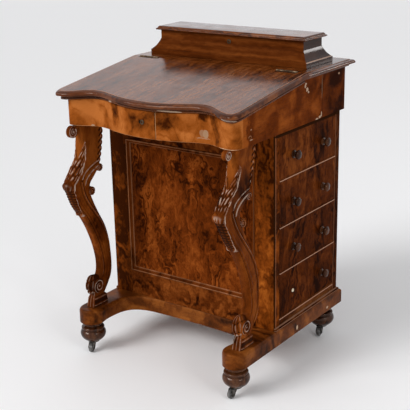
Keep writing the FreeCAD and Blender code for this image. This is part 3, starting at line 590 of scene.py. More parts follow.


# Colours of marks: chips, cracks and the keyhole, a painted shadow colour (shadow) that also serves
# for a dark joint, and painted highlights along the beads and edges
wearAndPaintedLight = {
    "chipWood": (0.52, 0.36, 0.25), "veneerChip": (0.42, 0.29, 0.2),
    "crack": (0.01, 0.004, 0.002), "crackEdge": (0.36, 0.2, 0.1),
    "shadow": (0.022, 0.007, 0.002), "keyhole": (0.004, 0.003, 0.002),
    "paintedBeadHighlight": (0.44, 0.24, 0.16), "paintedBaseHighlight": (0.26, 0.13, 0.08),
    "paintedPostHighlight": (0.2, 0.085, 0.045),
}
veneer = walnut("walnutVeneer", tone=(0.09, 0.02, 0.003))
apronVeneer = walnut(
    "walnutApron", space="UV", turn=(0, 0, 62), figure=9.0, stretch=0.9, warp=0.05,
    contours=5.0, rings=7.0, lineGain=0.4, cloudGain=1.6, mottleGain=0.4, threads=0.16,
    tone=(0.25, 0.062, 0.008), darkShare=(0.16, 0.13, 0.16), lightShare=(1.7, 2.1, 3.4),
    darkAt=0.16, patchGain=1.0,
    patches=(
        ((-200, -225, 690), (70, 60, 50), 0.26), ((-100, -245, 692), (14, 60, 34), -0.26),
        ((-35, -255, 672), (44, 60, 30), -0.12), ((160, -230, 703), (19, 40, 15), -0.38),
        ((95, -250, 658), (54, 50, 16), 0.22), ((196, -234, 680), (18, 30, 60), -0.11),
        ((234, -232, 676), (26, 60, 50), 0.2), ((60, -250, 700), (40, 60, 20), -0.12),
    ),
    spots=(
        # An area of wear on the right, then the bottom edge, where all but the small mark on the
        # left are painted highlights, the joint in the veneer and the keyhole
        ((154, -224, 666), (7, 30, 8.5), 3, (0.29, 0.14, 0.07)),
        ((164, -224, 665), (8, 30, 10), 3, (0.32, 0.185, 0.105)),
        ((158, -224, 654), (18, 30, 1.6), 4, (0.34, 0.17, 0.09)),
        ((-187, -227, 643.5), (5, 30, 2.2), 4, (0.34, 0.22, 0.14)),
        ((236, -236, 640.4), (32, 30, 3.4), 1.5, (0.62, 0.38, 0.22)),
        ((120, -250, 640.4), (60, 30, 2.0), 1.5, (0.34, 0.15, 0.07)),
        ((-120, -250, 640.4), (60, 30, 1.8), 1.5, (0.34, 0.15, 0.07)),
        ((37.5, -257, 690), (0.7, 30, 60), 1.2, wearAndPaintedLight["crack"]),
        ((39.4, -257, 690), (0.6, 30, 60), 1.2, wearAndPaintedLight["crackEdge"]),
        ((-8, -257, 681), (2.2, 30, 4.6), 0.6, wearAndPaintedLight["keyhole"]),
    ),
)
# The apron's eased bottom edge, paler: wear and a painted highlight
apronArrisHighlight = walnut(
    "walnutApronArrisHighlight", space="UV", turn=(0, 0, 62), figure=7.0, stretch=0.9, cloudGain=2.0,
    tone=(0.34, 0.13, 0.045), darkShare=(0.4, 0.3, 0.25), lightShare=(1.6, 2.0, 2.6),
)
friezeVeneer = walnut(
    "walnutFrieze", turn=(90, 0, 0), figure=8.0, stretch=0.6, warp=0.08, contours=7.0, rings=6.0,
    lineGain=0.24, mottleGain=0.35, cloudGain=1.2, tone=(0.12, 0.0235, 0.0028),
    patches=ovals(0, 263, 60, (
        (-222, 680, 26, 90, 1.1), (-186, 700, 20, 70, -0.25), (-90, 690, 80, 60, 0.1),
        (30, 700, 26, 60, -0.3), (8, 712, 16, 34, 0.3), (90, 690, 50, 90, -0.2),
        (210, 690, 80, 110, -0.5),
    )),
    spots=ovals(0, 263, 9, (
        # Chips at the slope's rear corner and at the lower edge, with a painted shadow beside one
        # of them
        (66, 743, 4.6, 3, 5, wearAndPaintedLight["veneerChip"]), (63, 738, 4.2, 5, 6, wearAndPaintedLight["veneerChip"]),
        (73, 728, 5.4, 5, 7, wearAndPaintedLight["veneerChip"]), (79, 720.6, 3, 3, 5, wearAndPaintedLight["veneerChip"]),
        (123, 642.6, 7, 2.4, 6, wearAndPaintedLight["veneerChip"]), (138, 645.6, 6, 3.2, 6, wearAndPaintedLight["veneerChip"]),
        (146, 651, 3.4, 6.5, 6, wearAndPaintedLight["veneerChip"]), (139, 651, 2.2, 3, 4, wearAndPaintedLight["shadow"]),
        # A knocked ring and small knocks near the front, then the pen drawer's joint
        (-187, 662, 7, 4, 4, (0.24, 0.1, 0.045)), (-187, 661, 5, 2.6, 4, (0.07, 0.016, 0.003)),
        (-182, 655, 7, 1.4, 5, (0.36, 0.21, 0.13)), (-182, 678.9, 3, 2, 3, (0.32, 0.17, 0.1)),
        (236.4, 742.6, 4, 3, 4, (0.36, 0.22, 0.14)),
        (149.4, 700, 0.9, 90, 0.8, wearAndPaintedLight["crack"]), (147.6, 724, 0.9, 32, 1.6, (0.3, 0.17, 0.1)),
    )),
)
slopeVeneer = walnut(
    "walnutSlope", turn=(90, 0, 0), figure=16.0, stretch=0.045, rings=42.0, contours=6.0,
    warp=0.025, lineGain=0.1, mottleGain=1.7, cloudGain=1.3, threads=0.3, pores=0.9,
    tone=(0.14, 0.034, 0.005), darkShare=(0.15, 0.15, 0.2), lightShare=(1.5, 2.0, 3.6),
    roughness=(0.15, 0.25), gloss=0.5, coat=0.12, coatRoughness=0.08, polishTint=(1.0, 0.86, 0.78),
)
edgeWood = walnut(
    "walnutMoulding", space="UV", turn=(0, 90, 0), figure=14.0, stretch=0.25, cloudGain=0.6,
    mottleGain=0.3, tone=(0.088, 0.021, 0.004), roughness=(0.07, 0.13), gloss=0.2,
    polishTint=(1.0, 0.84, 0.74),
    spots=(
        # Painted highlights on the lower bead of the slope's moulded edge
        ((78, -249, 713.4), (36, 18, 1.7), 1.6, (0.5, 0.36, 0.25)),
        ((248, -259, 713.4), (27, 16, 1.2), 1.6, (0.5, 0.4, 0.33)),
        ((-118, -236, 714), (6, 14, 2.4), 1.5, (0.46, 0.33, 0.25)),
    ),
)
# The top arris of the moulded edges, paler: wear and a painted highlight
wornArrisHighlight = walnut(
    "walnutWornArrisHighlight", space="UV", turn=(0, 90, 0), figure=20.0, stretch=0.3, gloss=0.3,
    tone=(0.26, 0.12, 0.07), darkShare=(0.5, 0.4, 0.35), lightShare=(1.4, 1.5, 1.7),
)
burrVeneer = walnut(
    "walnutBurr", bookMatch=0.005, figure=13.0, stretch=0.42, warp=0.12, contours=11.0, rings=9.0,
    lineGain=0.32, mottleGain=0.55, cloudGain=1.15, threads=0.3, pores=0.45,
    tone=(0.132, 0.026, 0.0032),
    patches=ovals(1, -76, 40, (
        (-28, 520, 26, 60, -0.3), (62, 430, 42, 140, -0.26), (-166, 460, 18, 34, -0.12),
        (-172, 318, 22, 60, -0.1), (5, 508, 7, 50, 0.35), (-112, 435, 48, 50, 0.28),
        (-95, 347, 17, 46, 0.34), (-102, 510, 18, 44, 0.28), (0, 300, 40, 60, 0.16),
        (-60, 150, 190, 60, 0.1),
    )),
)
panelEdge = walnut(
    "walnutPanelEdge", figure=9.0, stretch=0.4, tone=(0.1, 0.021, 0.003),
    lightShare=(1.6, 1.8, 2.0),
)
panelBead = walnut(
    "walnutPanelBead", figure=9.0, stretch=0.4, tone=(0.22, 0.085, 0.035),
    darkShare=(0.4, 0.35, 0.3), lightShare=(1.4, 1.5, 1.7),
    # The bead darkened down the right side: painted shadow of the right leg
    patches=(((205, -84, 420), (40, 60, 500), -1.4),),
)
drawerVeneer = walnut(
    "walnutDrawer", figure=11.0, stretch=0.45, warp=0.1, contours=9.0, rings=12.0,
    lineGain=0.28, mottleGain=0.6, cloudGain=1.3, threads=0.2, tone=(0.084, 0.0175, 0.0026),
    patches=ovals(0, 262, 80, (
        (80, 180, 300, 300, -0.06), (40, 560, 70, 70, 0.33), (-40, 180, 60, 80, -0.2),
        (160, 590, 26, 60, -0.25),
    )),
    # A painted shadow along the top of the drawers, under the writing box
    spots=(((262, 80, 637.5), (60, 4000, 4.5), 0.8, wearAndPaintedLight["shadow"]),),
)
beadWood = walnut(
    "walnutBead", turn=(90, 0, 0), figure=12.0, stretch=0.2, tone=(0.07, 0.018, 0.004),
    # Painted highlights along each drawer rail's bead
    spots=ovals(0, 262, 60, (
        (80, z, 4000, 1.2, 1.4, wearAndPaintedLight["paintedBeadHighlight"]) for z in (150.2, 276.6, 398.9, 521.2)
    )),
)
baseVeneer = walnut(
    "walnutBase", turn=(0, 90, 0), figure=14.0, stretch=0.3, tone=(0.07, 0.017, 0.003),
    # Two painted highlight lines along the base moulding
    spots=ovals(0, 0, 600, (
        (80, 134.2, 4000, 0.9, 0.5, wearAndPaintedLight["paintedBaseHighlight"]),
        (80, 128.6, 4000, 0.8, 0.5, wearAndPaintedLight["paintedBaseHighlight"]),
    )),
)
postVeneer = walnut(
    "walnutPost", figure=11.0, stretch=0.45, warp=0.12, contours=9.0, rings=10.0,
    lineGain=0.3, mottleGain=0.6, cloudGain=1.2, tone=(0.18, 0.039, 0.004),
    # The last patch darkens the left stile: painted shadow of the left leg and the apron
    patches=(
        ((250, -90, 600), (60, 60, 100), -0.22), ((240, -90, 330), (24, 60, 160), 0.2),
        ((262, -90, 410), (14, 60, 50), -0.5), ((262, -90, 300), (10, 60, 26), -0.4),
        ((262, -90, 140), (40, 60, 40), -0.35), ((-236, -90, 400), (60, 60, 420), -0.5),
    ),
    spots=(
        # A dark joint beside the drawers with a painted highlight down the post's edge beside it,
        # and a painted shadow under the writing box
        ((262.2, -79, 400), (3, 2.6, 4000), 0.8, wearAndPaintedLight["shadow"]),
        ((262.2, -73, 400), (1.6, 1.2, 4000), 0.8, wearAndPaintedLight["paintedPostHighlight"]),
        ((262.2, -60, 637.5), (2, 17, 4.5), 0.8, wearAndPaintedLight["shadow"]),
    ),
)
rearPostVeneer = walnut(
    "walnutRearPost", figure=11.0, stretch=0.45, warp=0.1, tone=(0.06, 0.013, 0.002),
    # A painted highlight down the bead at the rear edge, and a painted shadow under the writing box
    spots=ovals(0, 262, 9, (
        (226.2, 400, 1.1, 4000, 0.5, (0.2, 0.08, 0.04)), (236, 637.5, 14, 4.5, 0.8, wearAndPaintedLight["shadow"]),
    )),
)
railVeneer = walnut(
    "walnutRail", turn=(0, 90, 0), figure=14.0, stretch=0.5, warp=0.1, tone=(0.1, 0.021, 0.003),
)
plinthVeneer = walnut(
    "walnutPlinth", turn=(0, 90, 0), figure=10.0, stretch=0.4, contours=7.0, rings=8.0,
    tone=(0.12, 0.029, 0.004), roughness=(0.3, 0.45), gloss=0.08,
    patches=(((271, -150, 110), (60, 60, 60), -0.1), ((-240, -210, 105), (60, 90, 40), -0.15)),
    spots=ovals(0, 271, 9, (
        (19, 102, 4.4, 6.6, 1.5, wearAndPaintedLight["chipWood"]), (181, 99, 5, 4, 2.5, wearAndPaintedLight["chipWood"]),
    )),
)
carvedWood = walnut(
    "walnutCarved", figure=9.0, stretch=0.3, rings=14.0, contours=5.0, lineGain=0.34,
    mottleGain=0.4, cloudGain=1.3, tone=(0.135, 0.029, 0.0035), roughness=(0.14, 0.24),
    gloss=0.01, carved=True,
    patches=ovals(1, -225, 300, (
        (-240, 570, 100, 60, 0.12), (240, 610, 60, 60, 0.3), (0, 250, 500, 160, -0.1),
    )),
)
footWood = walnut(
    "walnutFoot", figure=14.0, stretch=0.5, rings=18.0, tone=(0.048, 0.014, 0.0044),
    roughness=(0.05, 0.1), gloss=0.3, polishTint=(1.0, 0.83, 0.72),
)
knobWood = walnut(
    "walnutKnob", figure=14.0, stretch=0.5, rings=18.0, tone=(0.045, 0.0125, 0.0035),
    roughness=(0.06, 0.12), gloss=0.15, polishTint=(1.0, 0.76, 0.6),
)
stationeryWood = walnut(
    "walnutStationery", turn=(0, 90, 0), figure=12.0, stretch=0.09, rings=34.0, warp=0.02,
    cloudGain=1.1, lineGain=0.14, tone=(0.083, 0.018, 0.0027),
)
# The stationery box's ends: a far darker tone than its front, which is painted shade, and a pale
# line on the nose that is wear and a painted highlight
shadedPolishedEnd = walnut(
    "walnutShadedPolishedEnd", turn=(90, 0, 0), figure=8.0, stretch=0.3, tone=(0.03, 0.01, 0.005),
    roughness=(0.06, 0.11), gloss=0.14, polishTint=(1.0, 0.9, 0.85),
    spots=(((248, 160, 788.2), (6, 4000, 1.0), 0.5, (0.5, 0.34, 0.26)),),
)
lidVeneer = walnut(
    "walnutLidTop", turn=(0, 90, 0), figure=7.0, stretch=0.15, rings=20.0,
    tone=(0.08, 0.022, 0.008), coat=0.5, coatRoughness=0.15, roughness=(0.2, 0.34), gloss=0.5,
)
liningWood = walnut(
    "liningWood", turn=(0, 90, 0), figure=6.0, stretch=0.12, rings=30.0, contours=4.0, lineGain=0.3,
    tone=(0.42, 0.25, 0.12), darkShare=(0.6, 0.55, 0.5), lightShare=(1.3, 1.4, 1.6),
    roughness=(0.5, 0.7), gloss=0.3,
)
bareWood = walnut(
    "bareWood", turn=(0, 90, 0), figure=30.0, stretch=0.2, tone=(0.74, 0.62, 0.44),
    darkShare=(0.7, 0.6, 0.5), lightShare=(1.1, 1.15, 1.2), roughness=(0.6, 0.8), pores=0.15,
)
agedBrass = metal("agedBrass", (0.13, 0.092, 0.058), (0.045, 0.03, 0.018), (0.34, 0.58))
darkIron = metal("darkIron", (0.12, 0.11, 0.1), (0.04, 0.035, 0.03), (0.4, 0.7))
wheelGlaze = glazed("wheelGlaze", (0.12, 0.115, 0.11), (0.022, 0.02, 0.018))
print("materials made:", len(bpy.data.materials))


# Writing slope, flat top and shaped apron

topSize = {
    "sideReach": 152, "lobeReach": 192, "lobeInset": 24, "valleyReach": 159.5, "valleyX": 163,
    "crestReach": 189, "angle": 7.8, "thickness": 18, "beadHeight": 6, "beadDepth": 3.6,
    "beadInset": 14.7, "undersideInset": 20, "rows": 30,
}
apronSize = {
    "sideReach": 135, "lobeReach": 164, "lobeInset": 20, "valleyReach": 142.5, "valleyX": 168,
    "crestReach": 176, "wall": 16, "ease": 1.2, "slopeGap": 0.3, "rows": 12,
}
edgeSize = {
    "quirk": [(13.5, 0), (11.2, 0), (11.2, -0.9)],
    "thumb": (10.4, 7.7), "thumbInset": 10.4, "thumbBase": -8.6,
    "fillet": [(0, -8.6), (0, -10.4), (1.4, -10.8)],
    "coveInset": 1.4, "coveWidth": 10.6, "coveBase": 1.2, "coveShort": 12,
    "base": [(13, 0.6), (13, 0)],
}
curveSet = {"steps": 20, "cornerPull": 0.62, "hollowPull": 0.4, "swellFrom": 0.75, "swellTo": 0.55}


def serpentine(half, size):
    # Plan of a shaped front, from its right side to its left: three cubic curves for the rounded
    # corner, the hollow and the swelling middle, and the same mirrored
    sideY, lobe, valley, crest = (
        caseFront - size[k] for k in ("sideReach", "lobeReach", "valleyReach", "crestReach")
    )
    lobeX, valleyX = half - size["lobeInset"], size["valleyX"]
    pull, hollowPull, steps = curveSet["cornerPull"], curveSet["hollowPull"], curveSet["steps"]
    corner = bezier([
        (half, sideY), (half, sideY + pull * (lobe - sideY)),
        (lobeX + pull * (half - lobeX), lobe), (lobeX, lobe),
    ], steps)
    hollow = bezier([
        (lobeX, lobe), (lobeX + hollowPull * (valleyX - lobeX), lobe),
        (valleyX + hollowPull * (lobeX - valleyX), valley), (valleyX, valley),
    ], steps)
    swell = bezier([
        (valleyX, valley), (valleyX * curveSet["swellFrom"], valley),
        (valleyX * curveSet["swellTo"], crest), (0, crest),
    ], 2 * steps)
    return bothSides(chain([corner, hollow, swell]))


def mouldedEdge(thickness):
    # Profile of the top's edge, as (inset, height) from the top face down: quirk, thumb mould,
    # fillet and cove
    size = edgeSize
    coveCentre = (size["coveInset"], size["coveBase"] - thickness)
    coveSize = (size["coveWidth"], thickness - size["coveShort"])
    return chain([
        size["quirk"],
        arc((size["thumbInset"], size["thumbBase"]), size["thumb"], 90, 180, 10),
        size["fillet"],
        arc(coveCentre, coveSize, 90, 0, 8),
        [(inset, lift - thickness) for inset, lift in size["base"]],
    ])


def makeSlope():
    # The moulded edge round the shaped front and both sides, level on top and below, with its
    # rear end upright at the hinge joint
    size = topSize
    tilt = math.radians(size["angle"])
    front = serpentine(topHalf, size)
    front[:, 1] = (front[:, 1] - hingeY) / math.cos(tilt)
    n = size["rows"]
    share = np.linspace(0, 1, n)
    underside = -size["thickness"] - size["beadHeight"]
    beadHalf = size["beadHeight"] / 2
    profile = chain([
        mouldedEdge(size["thickness"]),
        arc((size["beadInset"], underside + beadHalf), (size["beadDepth"], beadHalf), 90, 270, 10),
        [(size["undersideInset"], underside)],
    ])
    rightSide = np.column_stack([np.full(n, topHalf), front[0, 1] * share])
    path = chain([rightSide, front, rightSide[::-1] * [-1, 1]])
    edge = edgeGrid(path, profile)
    # The rear ends lie in the upright plane of the hinge joint, so they shift with the height
    rearY = (edge[:, 0, 2] * math.sin(tilt) - hingeGap) / math.cos(tilt)
    edge[:, :n, 1] = rearY[:, None] * (1 - share) + edge[:, n - 1, None, 1] * share
    edge[:, -n:, 1] = edge[:, :n, 1][:, ::-1]

    def runBack(row, y):
        # The row carried straight back to the hinge joint, in even steps
        back = np.column_stack([row[:, 0], np.full(len(row), y), row[:, 2]])
        return back * (1 - share[:, None, None]) + row * share[:, None, None]

    cap = runBack(edge[0, n - 1:-n + 1], rearY[0])
    capLow = runBack(edge[-1, n - 1:-n + 1], rearY[-1])
    rear = np.vstack([cap[0], edge[1:, -1], capLow[0][::-1][1:], edge[::-1, 0][1:-1]])

    def place(points):
        # Turned about the hinge line by the slope's angle, then moved to the hinge
        y = points[..., 1] * math.cos(tilt) - points[..., 2] * math.sin(tilt) + hingeY
        z = points[..., 1] * math.sin(tilt) + points[..., 2] * math.cos(tilt) + deskTop
        return np.stack([points[..., 0], y, z], axis=-1)

    parts = [(place(edge[:3]), 2), (place(edge[2:]), 1), (place(cap), 0), (place(capLow), 1)]
    piece = makePiece("writing_slope", parts, [(place(rear), 1)])
    finishPiece(piece, "slope", [slopeVeneer, edgeWood, wornArrisHighlight], "slope")


def makeFlatTop():
    # The moulded edge carried round the back and both sides, with flat faces between its ends
    low, high = boxMm("flat_top")
    front, rear = low[1], high[1]
    path = np.array([(-topHalf, front), (-topHalf, rear), (topHalf, rear), (topHalf, front)])
    edge = edgeGrid(path, mouldedEdge(deskTop - topBase))
    edge[..., 2] += deskTop
    face = np.vstack([edge[:, 0], edge[::-1, -1]])
    flats = [(edge[0], 0), (edge[-1], 1), (face, 1)]
    piece = makePiece("flat_top_finish", [(edge[:3], 2), (edge[2:], 1)], flats)
    finishPiece(piece, "case", [slopeVeneer, edgeWood, wornArrisHighlight], "flat_top")


def makeApron():
    # The shaped front board: outer face, eased bottom edge, inner face and a top edge that
    # follows the underside of the slope. Each row is (inset, share of the height, lift).
    size = apronSize
    tilt = math.radians(topSize["angle"])
    depth = (topSize["thickness"] + topSize["beadHeight"] + size["slopeGap"]) / math.cos(tilt)
    boxHalf, jointY = boxMm("box_front")[1][:2]
    front = serpentine(boxHalf, size)
    path = chain([[(boxHalf, jointY)], front, [(-boxHalf, jointY)]])
    normals = inwardNormals(path)
    e, w = size["ease"], size["wall"]
    rows = [(w, 0, 0), (w - e, 0, 0), (e, 0, 0), (e * 0.3, 0, e * 0.3), (0, 0, e)]
    rows += [(0, share, 0) for share in np.linspace(0.04, 0.97, size["rows"])]
    rows += [(0, 1, -e), (e, 1, 0), (w, 1, 0), (w, 0, 0)]
    inset, share, lift = (np.array(column)[:, None] for column in zip(*rows))
    x = path[None, :, 0] + normals[None, :, 0] * inset
    y = path[None, :, 1] + normals[None, :, 1] * inset
    limit = deskTop - depth + (y - hingeY) * math.tan(tilt)
    z = boxBase + share * (limit - boxBase) + lift
    grid = np.stack([x, y, z], axis=2)
    parts = [(grid[:3], 0), (grid[2:5], 1), (grid[4:], 0)]
    piece = makePiece("apron_front", parts, [grid[:-1, 0], grid[:-1, -1]])
    finishPiece(piece, "case", [apronVeneer, apronArrisHighlight], "box_front")


# Plinth, feet and castors

plinthSize = {
    "lobeRadius": 34, "lobeReach": 172, "bow": 3.5, "roundWidth": 6.5, "roundHeight": 9,
    "ease": 1.5, "circlePull": 0.5523, "neckShare": 0.56, "hollowShare": 0.62,
}


def plinthFront(half, size):
    # Round lobes under the legs, then a neck into a wide shallow hollow: circles' quarters and
    # cubic curves, mirrored
    r, bow = size["lobeRadius"], size["bow"]
    k = size["circlePull"] * r
    lobeX, lobeY = half - r, caseFront - size["lobeReach"] + r
    inner, front = lobeX - r, lobeY - r
    neckX, neckY = inner + k / 6, lobeY + size["neckShare"] * (caseFront - lobeY)
    turnX, turnY = inner * size["hollowShare"], caseFront - bow
    return bothSides(chain([
        bezier([(half, lobeY), (half, lobeY - k), (lobeX + k, front), (lobeX, front)], 16),
        bezier([(lobeX, front), (lobeX - k, front), (inner, lobeY - k), (inner, lobeY)], 16),
        bezier([
            (inner, lobeY), (inner, lobeY + k), (inner + k / 2, lobeY + k), (neckX, neckY),
        ], 12),
        bezier([
            (neckX, neckY), (inner - k / 6, (neckY + caseFront) / 2),
            (inner - k, caseFront - 2.3 * bow), (turnX, turnY),
        ], 20),
        bezier([
            (turnX, turnY), (turnX * 0.66, turnY + 0.86 * bow), (turnX / 3, caseFront),
            (0, caseFront),
        ], 20),
    ]))


def makePlinth():
    # A board with its upper edge rounded and its lower one eased, carried right round
    low, high = boxMm("plinth")
    half, rear = high[:2]
    front = plinthFront(half, plinthSize)
    side = np.column_stack([np.full(12, half), np.linspace(rear, front[0, 1], 12)])
    back = np.column_stack([np.linspace(-half, half, 24), np.full(24, rear)])
    path = chain([side, front, side[::-1] * [-1, 1], back])
    w, h, ease = (plinthSize[k] for k in ("roundWidth", "roundHeight", "ease"))
    profile = chain([
        [(ease, low[2]), (0, low[2] + ease)],
        arc((w, high[2] - h), (w, h), 180, 90, 10),
    ])
    edge = edgeGrid(path, profile, closed=True)
    piece = makePiece("plinth_finish", [edge], [edge[0, :-1], edge[-1, :-1]])
    finishPiece(piece, "case", [plinthVeneer], "plinth")


# Shares of the foot's radius and height, from the sole up. An arc is its centre and its size.
footShape = {
    "sole": [(0, 0), (0.5, 0), (0.56, 0.02)],
    "belly": [(0.56, 0.02), (0.76, 0.1), (0.93, 0.23), (1, 0.38), (0.97, 0.5), (0.88, 0.58)],
    "score": [(0.83, 0.59), (0.83, 0.61)],
    "ring": [(0.8, 0.685), (0.1, 0.07)],
    "quirk": [(0.7, 0.77), (0.62, 0.79), (0.62, 0.84)],
    "disc": [(0.7, 0.9), (0.07, 0.055)],
    "top": [(0.72, 0.965), (0.72, 1), (0, 1)],
}


def footProfile(radius, height):
    # A bun's swelling belly, a scored line, a smaller ring, quirk and top disc
    part = {k: np.array(points) * (radius, height) for k, points in footShape.items()}
    ring, disc = part["ring"], part["disc"]
    return chain([
        part["sole"], smoothCurve(part["belly"], 26), part["score"],
        arc(ring[0], tuple(ring[1]), -75, 75, 12),
        part["quirk"], arc(disc[0], tuple(disc[1]), -90, 90, 8), part["top"],
    ])


def makeFeet():
    # Each foot fills its node's box: half the box's width is its radius
    for corner in corners:
        low, high = boxMm(corner + "_foot")
        centre = (low + high) / 2
        profile = footProfile((high[0] - low[0]) / 2, high[2] - low[2])
        grid = turnedGrid(profile, (centre[0], centre[1], low[2]), steps=72)
        piece = makePiece(corner + "_bun", [grid], sharp=50)
        finishPiece(piece, "case", [footWood], corner + "_foot")


def dressCastors():
    # Earthenware wheels in iron forks, under iron cups
    dress(wheelGlaze, *(corner + "_castor_wheel" for corner in corners))
    dress(darkIron, "castor_cups", *(corner + "_castor_fork" for corner in corners))


# Scroll legs

# Every carved shape below comes with paint for the carved finish: above 0 a painted highlight on
# raised parts, below 0 painted shade in the hollows
legSize = {
    "middleX": 240.0, "halfWidth": 14.4, "rows": 460, "columns": 184,
    # Side view, as (reach in front of the case, height): front line and back line, top to bottom
    "front": [
        (148, 641), (147, 605), (146, 577), (157, 545), (173, 527), (189, 506), (202, 485),
        (194, 458), (179, 425), (156, 393), (134, 355), (114, 308), (103, 270), (99, 238),
        (102, 216), (112, 203), (122, 190), (126, 172),
    ],
    "back": [
        (62, 641), (64, 612), (68, 578), (76, 535), (87, 511), (103, 494), (121, 476),
        (123, 452), (112, 422), (96, 389), (74, 348), (61, 303), (57, 262), (57, 226),
        (62, 200), (72, 182), (84, 166), (96, 152),
    ],
    "square": [(127, 4.4), (540, 4.4), (600, 6.4), (641, 6.4)],
    # Sideways lean of each leg by height
    "lean": {
        "right": [
            (127, 0), (200, 1), (300, 4), (400, 4), (440, 1), (480, -6), (510, -7), (580, -3),
            (641, 0),
        ],
        "left": [(127, 0), (641, 0)],
    },
    # The leaf's reach round the front, as (height, width), on the outward and the inward side
    "leafOuter": [
        (394, 4), (400, 14), (440, 21), (470, 22), (505, 22), (530, 23), (560, 25), (584, 27),
        (600, 27),
    ],
    "leafInner": [
        (394, 4), (400, 14), (440, 23), (461, 27), (490, 31), (505, 36), (520, 39), (546, 28),
        (570, 22), (600, 19),
    ],
    # Bare wedge down the middle of the front, between the leaf's two stems
    "leafGap": [(394, 0), (540, 0), (556, 4), (574, 10), (590, 15), (602, 17)],
    "leafTop": 600.0, "leafEnd": 394.0,
    "outerRidge": [(92, 534), (108, 529), (126, 522), (146, 510), (156, 497)],
    "innerRidge": [(78, 520), (94, 518), (110, 513), (127, 504), (141, 492), (147, 480)],
    "backBead": [
        (158, 488), (153, 462), (144, 440), (130, 418), (117, 400), (98, 374), (82, 347),
        (73, 322), (67, 300), (63, 268), (61, 245), (62, 225), (68, 203), (80, 184),
    ],
    "shaftTop": (462, 436), "shaftFoot": (196, 214),
    # Share of the half width past which a point is on the leg's side
    "sideFrom": (0.84, 0.96),
}
# Widths along the leaf are shares of its own width, and all else is in millimetres
leafShape = {
    # Where the leaf's edges fade out: its sides, top, end and the bare wedge
    "sideEdge": (1.03, 0.96), "topEdge": (-0.01, 0.02), "endEdge": (1.02, 0.98),
    "gapEdge": (-2.0, 0.4), "kneeBand": (4, 14),
    "lobeLength": 21.0, "scallop": 0.07, "strands": 3.6, "strandLean": 44, "ribPower": 0.75,
    "slant": 30, "slantStretch": 1.5, "slantStep": 0.38,
    "lobeNotch": 0.5, "notchWidth": 0.11, "notchEnd": (0.95, 0.7),
    "rimAt": 0.9, "rimOuter": 0.11, "rimInner": 0.08, "spineWidth": 2.2,
    "ground": 0.4, "lobeHeight": 0.7, "ribHeight": 2.3, "rimHeight": 2.4, "lowRimHeight": 1.5,
    "spineHeight": 0.6, "scalePitch": 8.5, "scaleTurns": 1.6, "scaleHeight": 1.9,
    "scaleDrop": 1.2, "scaleEnd": (0.84, 0.74),
    # (height, distance before the knee or the leaf's end, length), then (middle, width) round it
    "curl": ((3.2, 4, 6), (0, 15)), "tip": ((3.0, 5, 4.5), (10, 6)),
}
# Painted highlight above 0 and painted shade below it, on the same forms
leafPaint = {
    "rib": 1.75, "ribPower": 2.8, "ground": 0.75, "kneeReach": (8, 14), "scale": 0.9,
    "scaleGround": 1.1, "rim": 1.9, "curl": 0.62, "tip": 1.3,
}
# Ridges as rows of (line, distance from it, height, half width); a height below 0 is a hollow
sideShape = {
    "grooveOuter": (5.6, 2.4), "grooveInner": (5.4, 3.6), "grooveDepth": 1.8, "grooveDark": 1.1,
    "scrolls": [("outerRidge", 0, 2.6, 2.0), ("innerRidge", 0, 2.8, 2.3)],
    "beads": [("backBead", 0, 1.5, 1.9), ("backBead", 4.6, -1.4, 1.9)],
    "frontBead": [("front", 4, 1.2, 2.0), ("front", 9, -1.2, 2.0)],
    "reed": [("front", 15, 1, 2.6), ("front", 21, -1, 2.4)], "reedHeight": 0.7,
    "lights": [
        ("outerRidge", 0, 1.3, 1.8), ("innerRidge", 0, 1.5, 2.1), ("backBead", 0, 0.55, 1.6),
    ],
    "darks": [("backBead", 4.6, -0.6, 1.8)],
    "frontLights": [("front", 4, 0.5, 1.8), ("front", 9, -0.5, 1.8)],
}
huskShape = {
    "top": 632.0, "foot": 528.0, "pitch": 15.5, "edge": (22, 17), "topFade": 6, "footFade": 4,
    "middle": 8, "droop": 0.7, "power": 0.8, "height": 2.6, "sink": 1.4,
    "spineHeight": 1.2, "spineWidth": 1.6, "light": 1.9, "dark": 1.75,
    "glintAt": 12, "glint": 0.9,
}


def byHeight(points, z):
    # Straight-line interpolation of (height, value) pairs
    table = np.array(sorted(points), float)
    return np.interp(z, table[:, 0], table[:, 1])


def distanceToLine(r, z, line):
    # Least distance from each point to a polyline: to each span's nearest point, then the least
    line = smoothCurve(line, 6 * len(line))
    best = np.full(r.shape, 1e9)
    for (r0, z0), (r1, z1) in zip(line, line[1:]):
        dr, dz = r1 - r0, z1 - z0
        share = np.clip(((r - r0) * dr + (z - z0) * dz) / (dr * dr + dz * dz), 0, 1)
        best = np.minimum(best, np.hypot(r - r0 - share * dr, z - z0 - share * dz))
    return best


def softStep(x, low, high):
    # 0 below low, 1 above high, and 3t^2 - 2t^3 between; turned round where low exceeds high
    t = np.clip((x - low) / (high - low), 0, 1)
    return t * t * (3 - 2 * t)


def hill(x, width):
    # Bell: e to the power of minus (x / width) squared
    return np.exp(-((x / width) ** 2))


def wave(x):
    # Even arches of height 1 and length 1: the size of the sine of pi times x
    return np.abs(np.sin(np.pi * x))


def squircle(angle, power):
    # Cosine and sine of the angle, each raised to the power with its sign kept
    pair = (np.cos(angle), np.sin(angle))
    return tuple(np.sign(value) * np.abs(value) ** power for value in pair)


